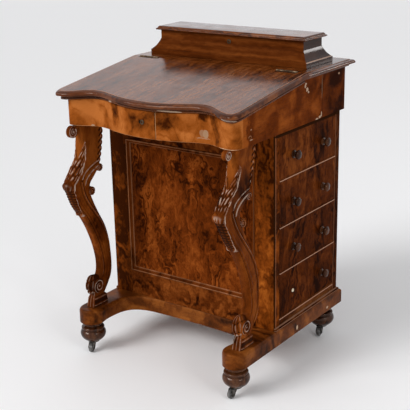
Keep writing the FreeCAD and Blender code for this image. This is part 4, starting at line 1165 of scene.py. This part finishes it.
def legSection(size):
    # A rounded rectangle between the front and back lines at every station. A walk round the
    # plain rectangle gives x and v, and (1 + m^n) to the power of -1 / n pulls them in, where m
    # is the lesser of x and v as shares of their half sizes.
    rows, columns = size["rows"], size["columns"]
    front, back = smoothCurve(size["front"], rows), smoothCurve(size["back"], rows)
    middle, half = (front + back) / 2, (front - back) / 2
    b = np.linalg.norm(half, axis=1)[:, None]
    a = np.full((rows, 1), size["halfWidth"])
    # From the middle of the front, over the +x side, to the front again
    walk = np.linspace(0, 1, columns)[None] * 4 * (a + b)
    flat = 0 * walk
    spans = [walk < a, walk < a + 2 * b, walk < 3 * a + 2 * b, walk < 3 * a + 4 * b]
    x = np.select(spans, [walk, a + flat, 2 * a + 2 * b - walk, -a + flat], walk - 4 * a - 4 * b)
    v = np.select(spans, [b + flat, a + b - walk, -b + flat, walk - 3 * a - 3 * b], b + flat)
    square = byHeight(size["square"], middle[:, 1:2]) + flat
    least = np.minimum(np.abs(x / a), np.abs(v / b))
    pull = (1 + least**square) ** (-1 / square)
    outward = x > 0
    r = middle[:, :1] + half[:, :1] / b * v * pull
    z = middle[:, 1:2] + half[:, 1:2] / b * v * pull
    x = x * pull
    return {
        "x": x, "r": r, "z": z, "front": front, "outward": outward,
        "around": np.minimum(walk, 4 * (a + b) - walk), "fromBack": b + v, "fromFront": b - v,
        "onSide": softStep(np.abs(x) / a, *size["sideFrom"]),
    }


def leafLayout(size, leg):
    # Where each point lies on the leaf: psi, the share of its width; s, the length along the front
    # line from its top; the lengths past its end and past the knee; and 1 on the leaf, 0 off it
    shape, front, around = leafShape, leg["front"], leg["around"]
    steps = np.linalg.norm(np.diff(front, axis=0), axis=1)
    length = np.concatenate([[0], np.cumsum(steps)])
    top, end = (np.interp(-size[k], -front[:, 1], length) for k in ("leafTop", "leafEnd"))
    fromKnee = length[:, None] - length[np.argmax(front[:, 0])]
    s = (length - top)[:, None]
    share = s / (end - top)
    station = front[:, 1:2]
    outer, inner = (byHeight(size[k], station) for k in ("leafOuter", "leafInner"))
    width = np.where(leg["outward"], outer, inner)
    scallop = np.abs(np.cos(np.pi * (s / shape["lobeLength"]))) ** 3
    width = width * (1 - shape["scallop"] * scallop)
    gap = byHeight(size["leafGap"], station)
    psi = (around - gap) / (width - gap)
    onLeaf = softStep(psi, *shape["sideEdge"]) * softStep(share, *shape["topEdge"])
    onLeaf = onLeaf * softStep(share, *shape["endEdge"])
    onLeaf = onLeaf * softStep(around - gap, *shape["gapEdge"])
    return np.maximum(psi, 0), s, s - (end - top), fromKnee, onLeaf


def leafCarving(size, leg):
    # Acanthus leaf over the front and its corners: fanned ribs in overlapping lobes and a thick
    # rim above the knee, scales below it, then the curl on the knee and the tip
    shape, around = leafShape, leg["around"]
    psi, s, fromEnd, fromKnee, onLeaf = leafLayout(size, leg)
    below = softStep(fromKnee, *shape["kneeBand"])
    above = 1 - below
    # Strands that leave the rim and run down towards the middle, broken into overlapping lobes
    strand = shape["strands"] * psi + s / shape["strandLean"]
    slant = (s - shape["slant"] * psi) / shape["lobeLength"] / shape["slantStretch"]
    slant = slant + shape["slantStep"] * np.floor(strand)
    notch = hill(slant - np.round(slant), shape["notchWidth"])
    lobes = 1 - shape["lobeNotch"] * notch * softStep(psi, *shape["notchEnd"])
    ribs = wave(strand) ** shape["ribPower"] * lobes
    rim = hill(psi - shape["rimAt"], np.where(leg["outward"], shape["rimOuter"], shape["rimInner"]))
    rimHeight = shape["rimHeight"] * above + shape["lowRimHeight"] * below
    spine = hill(around, shape["spineWidth"])
    leaf = onLeaf * (
        shape["ground"] + above * (shape["lobeHeight"] * lobes + shape["ribHeight"] * ribs)
        + rimHeight * rim + shape["spineHeight"] * spine * above
    )
    rounded = 0.4 + 0.6 * np.abs(np.cos(np.pi * psi * shape["scaleTurns"]))
    scale = wave(s / shape["scalePitch"]) ** 0.8 * rounded
    scaleRise = shape["scaleHeight"] * scale - shape["scaleDrop"]
    bumps = onLeaf * below * softStep(psi, *shape["scaleEnd"]) * scaleRise

    def swelling(name, distance):
        # A bell along the leaf times one round it
        (height, before, long), (middle, wide) = shape[name]
        return height * hill(distance + before, long) * hill(around - middle, wide)

    curl, tip = swelling("curl", fromKnee), swelling("tip", fromEnd)
    paint, (kneeAway, kneeWidth) = leafPaint, leafPaint["kneeReach"]
    ribLight = paint["rib"] * ribs ** paint["ribPower"] - paint["ground"]
    scaleLight = paint["scale"] * scale - paint["scaleGround"]
    relief = onLeaf * (
        above * ribLight * (1 - hill(fromKnee + kneeAway, kneeWidth))
        + below * scaleLight + paint["rim"] * rim
    )
    relief = relief + paint["curl"] * curl / shape["curl"][0][0]
    relief = relief + paint["tip"] * tip / shape["tip"][0][0]
    return leaf + bumps + curl + tip, relief, onLeaf


def sideCarving(size, leg, onLeaf):
    # On each side the two ridges of the C-scroll with a groove between, a bead down the back line
    # and, on the shaft, a bead and a reed beside the front. The groove is the product of two bells.
    shape = sideShape
    away = {
        line: distanceToLine(leg["r"], leg["z"], size[line])
        for line in ("outerRidge", "innerRidge", "backBead")
    }
    away["front"] = leg["fromFront"]

    def bells(name):
        # Each row's height times the bell of its distance, added up
        return sum(height * hill(away[line] - at, width) for line, at, height, width in shape[name])

    (outerAt, outerWidth), (innerAt, innerWidth) = shape["grooveOuter"], shape["grooveInner"]
    groove = hill(away["outerRidge"] - outerAt, outerWidth)
    groove = groove * hill(away["innerRidge"] - innerAt, innerWidth)
    shaft = softStep(leg["z"], *size["shaftTop"]) * softStep(leg["z"], *size["shaftFoot"])
    ridges = bells("scrolls") - shape["grooveDepth"] * groove
    reeds = shaft * bells("frontBead") + shaft * shape["reedHeight"] * bells("reed")
    push = leg["onSide"] * (ridges + bells("beads") + reeds * (1 - onLeaf))
    light = bells("lights") - shape["grooveDark"] * groove + bells("darks")
    return push, leg["onSide"] * (1 - onLeaf) * (light + shaft * bells("frontLights"))


def huskCarving(leg):
    # A drop of husks down the upper back edge: arches along it with a bell for their spine
    shape, z, fromBack = huskShape, leg["z"], leg["fromBack"]
    foot, top, footFade, topFade = (shape[k] for k in ("foot", "top", "footFade", "topFade"))
    onHusk = softStep(fromBack, *shape["edge"]) * softStep(z, foot - footFade, foot + footFade)
    onHusk = onHusk * softStep(z, top + topFade, top)
    droop = shape["droop"] * np.abs(fromBack - shape["middle"])
    husk = wave((z - foot + droop) / shape["pitch"]) ** shape["power"]
    spine = shape["spineHeight"] * hill(fromBack - shape["middle"], shape["spineWidth"])
    glint = shape["glint"] * hill(fromBack - shape["glintAt"], shape["spineWidth"])
    push = onHusk * (shape["height"] * husk - shape["sink"] + spine)
    return push, onHusk * (shape["light"] * husk - shape["dark"] + glint * husk)


def pushedOut(base, push):
    # Each point moved along the surface's own normal, the cross product of its two slopes
    along = np.gradient(base, axis=0)
    # The last column repeats the first, so the closed row's slope is taken across the seam
    wrapped = np.concatenate([base[:, -2:-1], base, base[:, 1:2]], axis=1)
    across = (wrapped[:, 2:] - wrapped[:, :-2]) / 2
    normal = np.cross(across, along)
    normal /= np.linalg.norm(normal, axis=2)[..., None] + 1e-9
    outside = np.sign((normal * (base - base.mean(axis=1)[:, None])).sum(axis=2, keepdims=True))
    return base + normal * outside * push[..., None]


def legBody(size):
    # The S-shaped body, pushed out by the carving, and the painted highlight and shade that go with
    # it
    leg = legSection(size)
    leaf, leafRelief, onLeaf = leafCarving(size, leg)
    sides, sideRelief = sideCarving(size, leg, onLeaf)
    husks, huskRelief = huskCarving(leg)
    base = np.stack([leg["x"], -leg["r"], leg["z"]], axis=2)
    relief = leafRelief + sideRelief + huskRelief
    return pushedOut(base, leaf + sides + husks), np.clip(relief, -1, 1)


scrollSize = {"ease": 1.2, "faceSteps": 40, "rimSteps": 10, "columns": 97, "ribTurns": 13}


def scroll(reach, height, radius, half, coil=6.5, relief=1.6, ribDepth=0.0, hand=1, pale=0.0):
    # A drum across the leg: over one face from its centre, across the rim and back over the other
    # face. A spiral ridge stands on each face: cosine of 2 pi (radius / coil - angle / 2 pi)
    ease, steps, rimSteps = (scrollSize[k] for k in ("ease", "faceSteps", "rimSteps"))
    edge = np.linspace(0.2, np.pi / 2, 5)
    faceRadii = np.linspace(0, radius - ease, steps)
    radii = np.concatenate([faceRadii, radius - ease + ease * np.sin(edge)])
    sideX = np.concatenate([np.full(steps, half), half - ease + ease * np.cos(edge)])
    across = np.linspace(half - ease, ease - half, rimSteps + 2)[1:-1]
    rho = np.concatenate([radii, np.full(rimSteps, radius), radii[::-1]])[:, None]
    x = np.concatenate([sideX, across, -sideX[::-1]])[:, None]
    angle = np.linspace(0, 2 * np.pi, scrollSize["columns"])[None]
    face = softStep(np.abs(x), half - 0.8, half - 0.1)
    ridge = 0.5 + 0.5 * np.cos(2 * np.pi * (rho / coil - hand * angle / (2 * np.pi)) + 0.6)
    eye = hill(rho, coil * 0.55)
    ridge = np.maximum(ridge**0.8 * softStep(rho, coil * 0.4, coil * 0.8), eye)
    rib = 1 + 0 * angle
    if ribDepth:
        rib = np.abs(np.cos(scrollSize["ribTurns"] * angle / 2)) ** 0.6
    spin = rho - ribDepth * softStep(rho, radius * 0.6, radius) * (1 - rib * (1 - face))
    y = -(reach + spin * np.cos(angle))
    z = height + spin * np.sin(angle)
    x = x + np.sign(x) * face * relief * (ridge - 1)
    rimRelief = 1.5 * rib - 0.9 if ribDepth else 0.25
    # Painted highlight on the spiral's ridge and painted shade between its turns, all lifted by the
    # pale share
    painted = face * (1.9 * ridge - 1.2 + pale) + (1 - face) * rimRelief
    return np.stack([x + 0 * y, y, z], axis=2), np.clip(painted + 0 * y, -1, 1)


footSize = {
    "half": 12.5, "reach": 124.0, "deep": 26.0, "height": 190.0, "tall": 25.0,
    "blockLow": 127.0, "blockHigh": 172.0, "blockCorner": 0.36, "fanDepth": 2.0, "beadDepth": 1.8,
    "blockHalf": [(0, 15.6), (0.5, 14.6), (0.68, 11.5), (1, 10.5)],
    "blockFront": [(0, 142), (0.5, 137), (0.7, 132), (1, 128)],
    "blockRear": [(0, 79), (0.5, 82), (0.7, 92), (1, 98)],
}


def curledLeaf(size):
    # The leaf that curls over the foot's scroll: an upright oval shell whose front carries strands,
    # |sin| of the angle round the upright line, above a rolled tip
    turn = np.linspace(0, 2 * np.pi, 145)[None]
    rise = np.linspace(-np.pi / 2, np.pi / 2, 80)[:, None]
    plump = np.cos(rise) ** 0.7
    facing = softStep(np.cos(turn), -0.1, 0.25)
    rib = np.abs(np.sin(4.5 * turn + 0.6 * rise)) ** 0.7
    roll = hill(rise + 0.95, 0.2)
    notch = hill(rise + 0.62, 0.09) + 0.8 * hill(rise - 0.35 - 0.3 * np.abs(np.sin(turn)), 0.08)
    grow = 1 + facing * (0.16 * rib * (1 - roll) + 0.22 * roll - 0.13 * notch - 0.1)
    x = size["half"] * plump * np.sin(turn) * grow
    y = -(size["reach"] + size["deep"] * plump * np.cos(turn) * grow)
    z = size["height"] + size["tall"] * np.sin(rise) * grow
    painted = facing * (0.95 * rib**3 - 0.4 + 0.8 * roll - 0.7 * notch) - 0.4 * (1 - facing)
    return np.stack([x, y, z + 0 * y], axis=2), np.clip(painted + 0 * y, -1, 1)


def footBlock(size):
    # The block under the scroll: a rounded oblong in plan. Its sides carry two level beads with a
    # hollow between; its front is a fan of upright ribs that narrows upwards
    steps = 60
    rise = np.concatenate([[0, 0], np.linspace(0, 1, steps), [1]])[:, None]
    shrink = np.concatenate([[0, 1], np.ones(steps), [0]])[:, None]
    cx, cy = squircle(np.linspace(0, 2 * np.pi, 241)[None], size["blockCorner"])
    halfX, front, rear = (byHeight(size[k], rise) for k in ("blockHalf", "blockFront", "blockRear"))
    onFront = softStep(cy, 0.86, 0.96) + 0 * rise
    onBlockSide = 1 - onFront
    fan = np.abs(np.cos(np.pi * 1.5 * cx)) ** 0.8
    bead = np.clip(hill(rise - 0.1, 0.07) + hill(rise - 0.5, 0.07), 0, 1)
    inset = onFront * size["fanDepth"] * (1 - fan)
    inset = inset + onBlockSide * size["beadDepth"] * (1 - bead) * softStep(rise, 0.64, 0.56)
    x = shrink * cx * (halfX - inset * onBlockSide)
    r = (front + rear) / 2 + shrink * cy * ((front - rear) / 2 - inset * onFront)
    z = size["blockLow"] + (size["blockHigh"] - size["blockLow"]) * rise + 0 * cx
    painted = onFront * (1.05 * fan**2 - 0.45)
    painted = painted + onBlockSide * (1.5 * bead - 0.9) * softStep(rise, 0.66, 0.6)
    return np.stack([x + 0 * z, -r + 0 * z, z], axis=2), np.clip(painted + 0 * z, -1, 1)


def ribbon(line, half, thick):
    # A flat band along a side-view line: a rounded oblong section square to the line
    path = smoothCurve(line, 40)
    step = np.gradient(path, axis=0)
    step /= np.linalg.norm(step, axis=1)[:, None]
    turn = np.linspace(0, 2 * np.pi, 49)[None]
    wide, deep = squircle(turn, 0.4)
    r = path[:, :1] - step[:, 1:] * (thick / 2 * deep)
    z = path[:, 1:] + step[:, :1] * (thick / 2 * deep)
    painted = 0.9 * np.abs(np.sin(turn)) ** 4 + 0 * r
    return np.stack([half * wide + 0 * r, -r, z], axis=2), painted


legParts = {
    "ribbonLine": [(132, 636), (150, 636.4), (160, 635), (168.5, 632)], "ribbonSize": (6.8, 8.0),
    "upperScroll": ((85, 512, 10.4, 14.6), {"coil": 5.5, "ribDepth": 1.6}),
    "kneeScroll": ((121, 456, 11.6, 15.2), {"coil": 6.0, "ribDepth": 1.8}),
    "footScroll": ((117, 184, 19.5, 16.6), {"coil": 9.6, "relief": 2.8, "hand": -1, "pale": 0.1}),
    "volute": {
        "right": ((167, 630, 12.5, 7.0), {"coil": 6.4, "relief": 1.8, "pale": 0.8}),
        "left": ((168.5, 624.6, 15.8, 6.6), {"coil": 7.6, "relief": 2.2, "pale": 0.8}),
    },
}


def makeLegs():
    # Both legs share one body, ribbon, three scrolls and foot, mirrored and leaned to suit; the
    # volute under the writing box is each leg's own
    body = legBody(legSize)
    common = [ribbon(legParts["ribbonLine"], *legParts["ribbonSize"])]
    for name in ("upperScroll", "kneeScroll", "footScroll"):
        places, options = legParts[name]
        common.append(scroll(*places, **options))
    common += [curledLeaf(footSize), footBlock(footSize)]
    for side, hand in ((1, "right"), (-1, "left")):
        places, options = legParts["volute"][hand]
        parts = [body, scroll(*places, **options)] + common
        grids = []
        for points, _ in parts:
            moved = points * [side, 1, 1] + [side * legSize["middleX"], caseFront, 0]
            moved[..., 0] += byHeight(legSize["lean"][hand], points[..., 2])
            grids.append(moved)
        paint = [relief for _, relief in parts]
        piece = makePiece(hand + "_leg_carved", grids, sharp=60, paint=paint)
        finishPiece(piece, "case", [carvedWood], hand + "_leg")


# Knobs

knobSize = {
    "length": 20, "collar": 10.5, "neck": 5.6, "head": 12, "tenon": 5, "tenonLength": 14,
    "bead": 1.6, "spread": 74, "headRound": (5.2, 4.6), "headAt": 14.2,
}
openingMiddle = (boxMm("drawer_2_front")[0][1] + boxMm("drawer_2_front")[1][1]) / 2
knobYs = (openingMiddle - knobSize["spread"], openingMiddle + knobSize["spread"])
knobPitch = boxMm("drawer_2_front")[0][2] - boxMm("drawer_1_front")[0][2]
knobLow = (boxMm("drawer_2_knobs")[0][2] + boxMm("drawer_2_knobs")[1][2]) / 2 - knobPitch


def knobProfile(size):
    # Collar, neck and a domed head, as (radius, distance from the drawer front)
    length, head, neck, collar = (size[k] for k in ("length", "head", "neck", "collar"))
    bead, tenon = size["bead"], size["tenon"]
    waist = [
        (collar - bead, 3.2), (neck + 1.2, 4.4), (neck, 6.2), (neck + 0.6, 8), (head - 2.4, 9.6),
    ]
    dome = [(head - 2.6, 18.2), (head * 0.45, length - 0.5), (0, length)]
    return chain([
        [(tenon, -size["tenonLength"]), (tenon, 0), (collar, 0)],
        arc((collar - bead, bead), bead, 0, 90, 6), smoothCurve(waist, 14),
        arc((head - size["headRound"][0], size["headAt"]), size["headRound"], -62, 60, 12),
        smoothCurve(dome, 10),
    ])


def makeKnobs():
    # The vertices near each column of knobs tell in which rows the node has one
    for name in ["drawer_%d_knobs" % k for k in (1, 2, 3, 4)] + ["dummy_knobs"]:
        mesh = nodes[name].data
        points = np.zeros(len(mesh.vertices) * 3)
        mesh.vertices.foreach_get("co", points)
        points = points.reshape(-1, 3) * 1000
        side = -1 if name == "dummy_knobs" else 1
        lost = knobYs[0] if name == "drawer_1_knobs" else None
        grids = []
        for y in knobYs:
            near = points[np.abs(points[:, 1] - y) < 20]
            for row in np.unique(np.round((near[:, 2] - knobLow) / knobPitch)):
                if y != lost:
                    centre = (side * caseHalf, y, knobLow + row * knobPitch)
                    grids.append(turnedGrid(knobProfile(knobSize), centre, "x", side, 40))
        if lost is not None:
            grids.append((brokenTenon(lost, knobLow), 1))
        body = nodes[name]["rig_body"]
        piece = makePiece(name + "_turned", grids, sharp=55)
        finishPiece(piece, body, [knobWood, bareWood], name)


def brokenTenon(y, z):
    # The lost knob's tenon, snapped off unevenly just outside the drawer front: the end is moved
    # by the product of a sine across it and a cosine up it
    r, deep = knobSize["tenon"] - 0.2, knobSize["tenonLength"]
    profile = [(0, -deep), (r, -deep), (r, 0.4), (r * 0.8, 1.4), (r * 0.4, 0.9), (0, 1.3)]
    grid = turnedGrid(profile, (caseHalf, y, z), "x", 1, 32)
    ragged = 0.5 * np.sin(grid[..., 1] * 2.3) * np.cos(grid[..., 2] * 1.9)
    grid[2:, :, 0] += ragged[2:]
    return grid


# Front panel moulding and stationery box

panelMould = {
    "bead": (2.6, 2.2), "quirk": (5.2, 2.6), "coveWidth": 5.4, "coveDrop": 3.4, "coveRise": 0.8,
    "width": 11.8,
}
# Each list of points is (inset, height) from the bottom, or from the top where the name says so
stationerySize = {
    "base": [(0.8, 0), (0, 0.8), (0, 10.5)],
    "noseAt": 12.2, "nose": (1.6, 1.8),
    "fillet": [(3.4, 14.2), (3.4, 15.4)],
    "cove": [(3.4, 15.4), (8.2, 20), (13.4, 27), (18.2, 36), (21, 43)],
    "rimFromTop": [(21, -0.6), (21.6, 0), (29.4, 0), (30, -0.6)], "floor": [(30, 8)],
}
lidSize = {
    "underside": [(1.2, 0)], "lipAt": 2.2, "fillet": [(3.4, 4.4), (3.4, 5.0)],
    "bevel": [(3.4, 5.0), (4.6, 7.4)], "bevelFromTop": [(6.6, -1.0), (8.2, -0.3), (11, 0)],
}


def lifted(points, height):
    # Points with their heights counted from the given one
    return [(inset, height + rise) for inset, rise in points]


def rectangle(low, high):
    # Plan of a box, from its rear right corner round its front and back to that corner
    return np.array([high, (high[0], low[1]), low, (low[0], high[1]), high])


def makePanelMoulding():
    # Profile as (inset, y): outer fillet, a bead, a cove, and a slope down to the panel
    size = panelMould
    low, high = boxMm("panel_moulding")
    right, left = (high[0], low[2]), (low[0], high[2])
    path = np.array([right, low[[0, 2]], left, high[[0, 2]], right])
    rear, proud = high[1], low[1]
    (beadWidth, beadRise), (quirkX, quirkRise) = size["bead"], size["quirk"]
    coveSize = (size["coveWidth"], rear - proud - size["coveDrop"])
    profile = chain([
        [(0, rear), (0, proud + beadRise)],
        arc((beadWidth, proud + beadRise), size["bead"], 180, 360, 10),
        [(quirkX, proud + quirkRise)],
        arc((quirkX, rear - size["coveRise"]), coveSize, -90, 0, 6),
        [(size["width"], rear)],
    ])
    grid = edgeGrid(path, profile, closed=True)[..., [0, 2, 1]]
    back = np.stack([grid[0], grid[-1]])
    parts = [(grid[:5], 0), (grid[4:9], 1), (grid[8:-3], 0), (grid[-4:], 1), (back, 0)]
    piece = makePiece("panel_frame", parts, sharp=30)
    finishPiece(piece, "case", [panelEdge, panelBead], "panel_moulding")


def makeStationeryBox():
    # Upright base, nose, cove up to the neck, rim, inner wall and floor
    size = stationerySize
    low, high = boxMm("stationery_box")
    base, rim = low[2], high[2]
    profile = chain([
        lifted(size["base"], base),
        arc((size["nose"][0], base + size["noseAt"]), size["nose"], 180, 90, 6),
        lifted(size["fillet"], base), smoothCurve(lifted(size["cove"], base), 16),
        lifted(size["rimFromTop"], rim), lifted(size["floor"], base),
    ])
    grid = edgeGrid(rectangle(low[:2], high[:2]), profile, closed=True)
    ends = [(grid[:, :2], 1), (grid[:, 1:3], 0), (grid[:, 2:4], 1), (grid[:, 3:], 0)]
    flats = [grid[0, :-1], grid[-1, :-1]]
    piece = makePiece("stationery_box_finish", ends, flats, sharp=28)
    finishPiece(piece, "case", [stationeryWood, shadedPolishedEnd], "stationery_box")


def makeStationeryLid():
    # Underside, a half-round lip, a fillet, and a bevel up to the raised top
    size = lidSize
    low, high = boxMm("stationery_lid")
    base, lip = low[2], size["lipAt"]
    bevel = lifted(size["bevel"], base) + lifted(size["bevelFromTop"], high[2])
    profile = chain([
        lifted(size["underside"], base), arc((lip, base + lip), lip, 250, 90, 10),
        lifted(size["fillet"], base), smoothCurve(bevel, 12),
    ])
    grid = edgeGrid(rectangle(low[:2], high[:2]), profile, closed=True)
    flats = [grid[0, :-1], (grid[-1, :-1], 1)]
    piece = makePiece("stationery_lid_finish", [grid], flats, sharp=28)
    finishPiece(piece, "stationery_lid", [edgeWood, lidVeneer], "stationery_lid")


makeSlope()
makeFlatTop()
makeApron()
makePlinth()
makeFeet()
dressCastors()
makeLegs()
makeKnobs()
makePanelMoulding()
makeStationeryBox()
makeStationeryLid()
print("moulded pieces made")


# Plain boards and brass

drawers = (1, 2, 3, 4)
for board, wood, slot in (
    ("front_posts", postVeneer, "walnut"), ("rear_posts", rearPostVeneer, "walnut"),
    ("front_rails", railVeneer, "walnut"), ("box_right_side", friezeVeneer, "walnut"),
    ("box_left_side", friezeVeneer, "walnut"), ("pen_drawer", friezeVeneer, "walnut"),
    ("box_back", veneer, "walnut"), ("back_panel", veneer, "walnut"),
    ("left_side_panel", veneer, "walnut"), ("base_moulding", baseVeneer, "walnut"),
    ("drawer_rails", beadWood, "walnut_bead"), ("dummy_drawer_fronts", drawerVeneer, "walnut_burr"),
):
    easedBoard(board, wood)
for k in drawers:
    easedBoard("drawer_%d_front" % k, drawerVeneer)
dress(
    liningWood, "drawer_runners", "box_floor", "well_partition", "pen_drawer_guide",
    "stationery_dividers", "dust_board", *("drawer_%d_box" % k for k in drawers),
)
dress(burrVeneer, "front_panel")
dress(
    agedBrass, "slope_hinge_fixed_leaves", "slope_hinge_moving_leaves", "slope_lock",
    "stationery_hinge_fixed_leaves", "stationery_hinge_moving_leaves", "stationery_escutcheon",
)
print("boards dressed")


# Floor, light and camera

studio = {
    "floor": (0.95, 0.95, 0.96), "floorHalf": 30.0, "floorRoughness": 0.6,
    "backdrop": (0.9, 0.9, 0.93), "ambient": 0.5,
    "sunStrength": 1.55, "sunFrom": (-0.45, -1.0, 0.8), "sunSpread": 28.0,
    # (power, place, size) of the soft fill on the right, and of three small lamps for glints
    "fillLight": (17.0, (3.2, -0.9, 1.9), (1.6, 1.6)),
    "glintLight": (11.0, (-1.3, -1.9, 1.7), (1.6, 0.12)),
    "rimLight": (5.0, (1.72, 2.95, 1.55), (0.36, 0.36)),
    "sideGlint": (5.0, (2.7, -1.25, 1.75), (0.3, 0.12)),
    "lampAim": (0, 0, 0.45),
}
cameraSet = {
    "place": (1.4791, -2.0302, 1.2258), "yaw": 36.2, "pitch": -18.2, "roll": -1.3,
    "lens": 86.5, "sensor": 36,
}


def addToScene(name, data):
    # A new object with the data, linked to the scene
    holder = bpy.data.objects.new(name, data)
    bpy.context.scene.collection.objects.link(holder)
    return holder


def shiningFrom(direction):
    # The turn that points a lamp's back along the direction, so that it shines the other way
    return direction.to_track_quat("Z", "Y").to_matrix().to_4x4()


def makeFloor():
    # One large square at the height of the wheels' lowest points
    mesh = bpy.data.meshes.new("floor")
    s = studio["floorHalf"]
    mesh.from_pydata([(-s, -s, 0), (s, -s, 0), (s, s, 0), (-s, s, 0)], [], [(0, 1, 2, 3)])
    floor = addToScene("floor", mesh)
    material, tree, shader = startMaterial("paleFloor")
    setShader(tree, shader, {
        "Base Color": (*studio["floor"], 1), "Roughness": studio["floorRoughness"],
    })
    mesh.materials.append(material)


def makeWorld():
    # Plain light all round, with the pale backdrop shown to the camera and in reflections
    world = bpy.data.worlds.new("studio")
    bpy.context.scene.world = world
    world.use_nodes = True
    tree = world.node_tree
    tree.nodes.clear()
    light = {"Color": (1, 1, 1, 1), "Strength": studio["ambient"]}
    light = shaderNode(tree, "Background", light)[0]
    shown = shaderNode(tree, "Background", {"Color": (*studio["backdrop"], 1)})[0]
    rays = shaderNode(tree, "LightPath", {})
    seen = mathNode(tree, "MAXIMUM", rays["Is Camera Ray"], rays["Is Glossy Ray"])
    seen = mathNode(tree, "MAXIMUM", seen, rays["Is Transmission Ray"])
    mix = shaderNode(tree, "MixShader", {0: seen, 1: light, 2: shown})[0]
    shaderNode(tree, "OutputWorld", {"Surface": mix})


def addLamp(name, power, place, size):
    # A rectangular lamp that shines at the middle of the desk
    lamp = bpy.data.lights.new(name, "AREA")
    lamp.energy = power
    lamp.shape = "RECTANGLE"
    lamp.size, lamp.size_y = size
    turn = shiningFrom(Vector(place) - Vector(studio["lampAim"]))
    addToScene(name, lamp).matrix_world = Matrix.Translation(place) @ turn


def addSun():
    # One broad distant lamp, so that the floor is as bright far off as near the desk
    lamp = bpy.data.lights.new("keyLight", "SUN")
    lamp.energy = studio["sunStrength"]
    lamp.angle = math.radians(studio["sunSpread"])
    addToScene("keyLight", lamp).matrix_world = shiningFrom(Vector(studio["sunFrom"]))


def addCamera():
    # The camera's axes from its yaw and pitch, then turned by the roll about the view line
    yaw, pitch, roll = (math.radians(cameraSet[k]) for k in ("yaw", "pitch", "roll"))
    level = math.cos(pitch)
    ahead = Vector((-math.sin(yaw) * level, math.cos(yaw) * level, math.sin(pitch)))
    right = Vector((math.cos(yaw), math.sin(yaw), 0))
    up = right.cross(ahead)
    across = right * math.cos(roll) + up * math.sin(roll)
    above = up * math.cos(roll) - right * math.sin(roll)
    camera = bpy.data.cameras.new("camera")
    camera.lens = cameraSet["lens"]
    camera.sensor_width = cameraSet["sensor"]
    turn = Matrix((across, above, -ahead)).transposed().to_4x4()
    holder = addToScene("camera", camera)
    holder.matrix_world = Matrix.Translation(cameraSet["place"]) @ turn
    bpy.context.scene.camera = holder


makeFloor()
makeWorld()
addSun()
for name in ("fillLight", "glintLight", "rimLight", "sideGlint"):
    addLamp(name, *studio[name])
addCamera()
bpy.context.scene.view_settings.view_transform = "Standard"
print("floor, light and camera set")
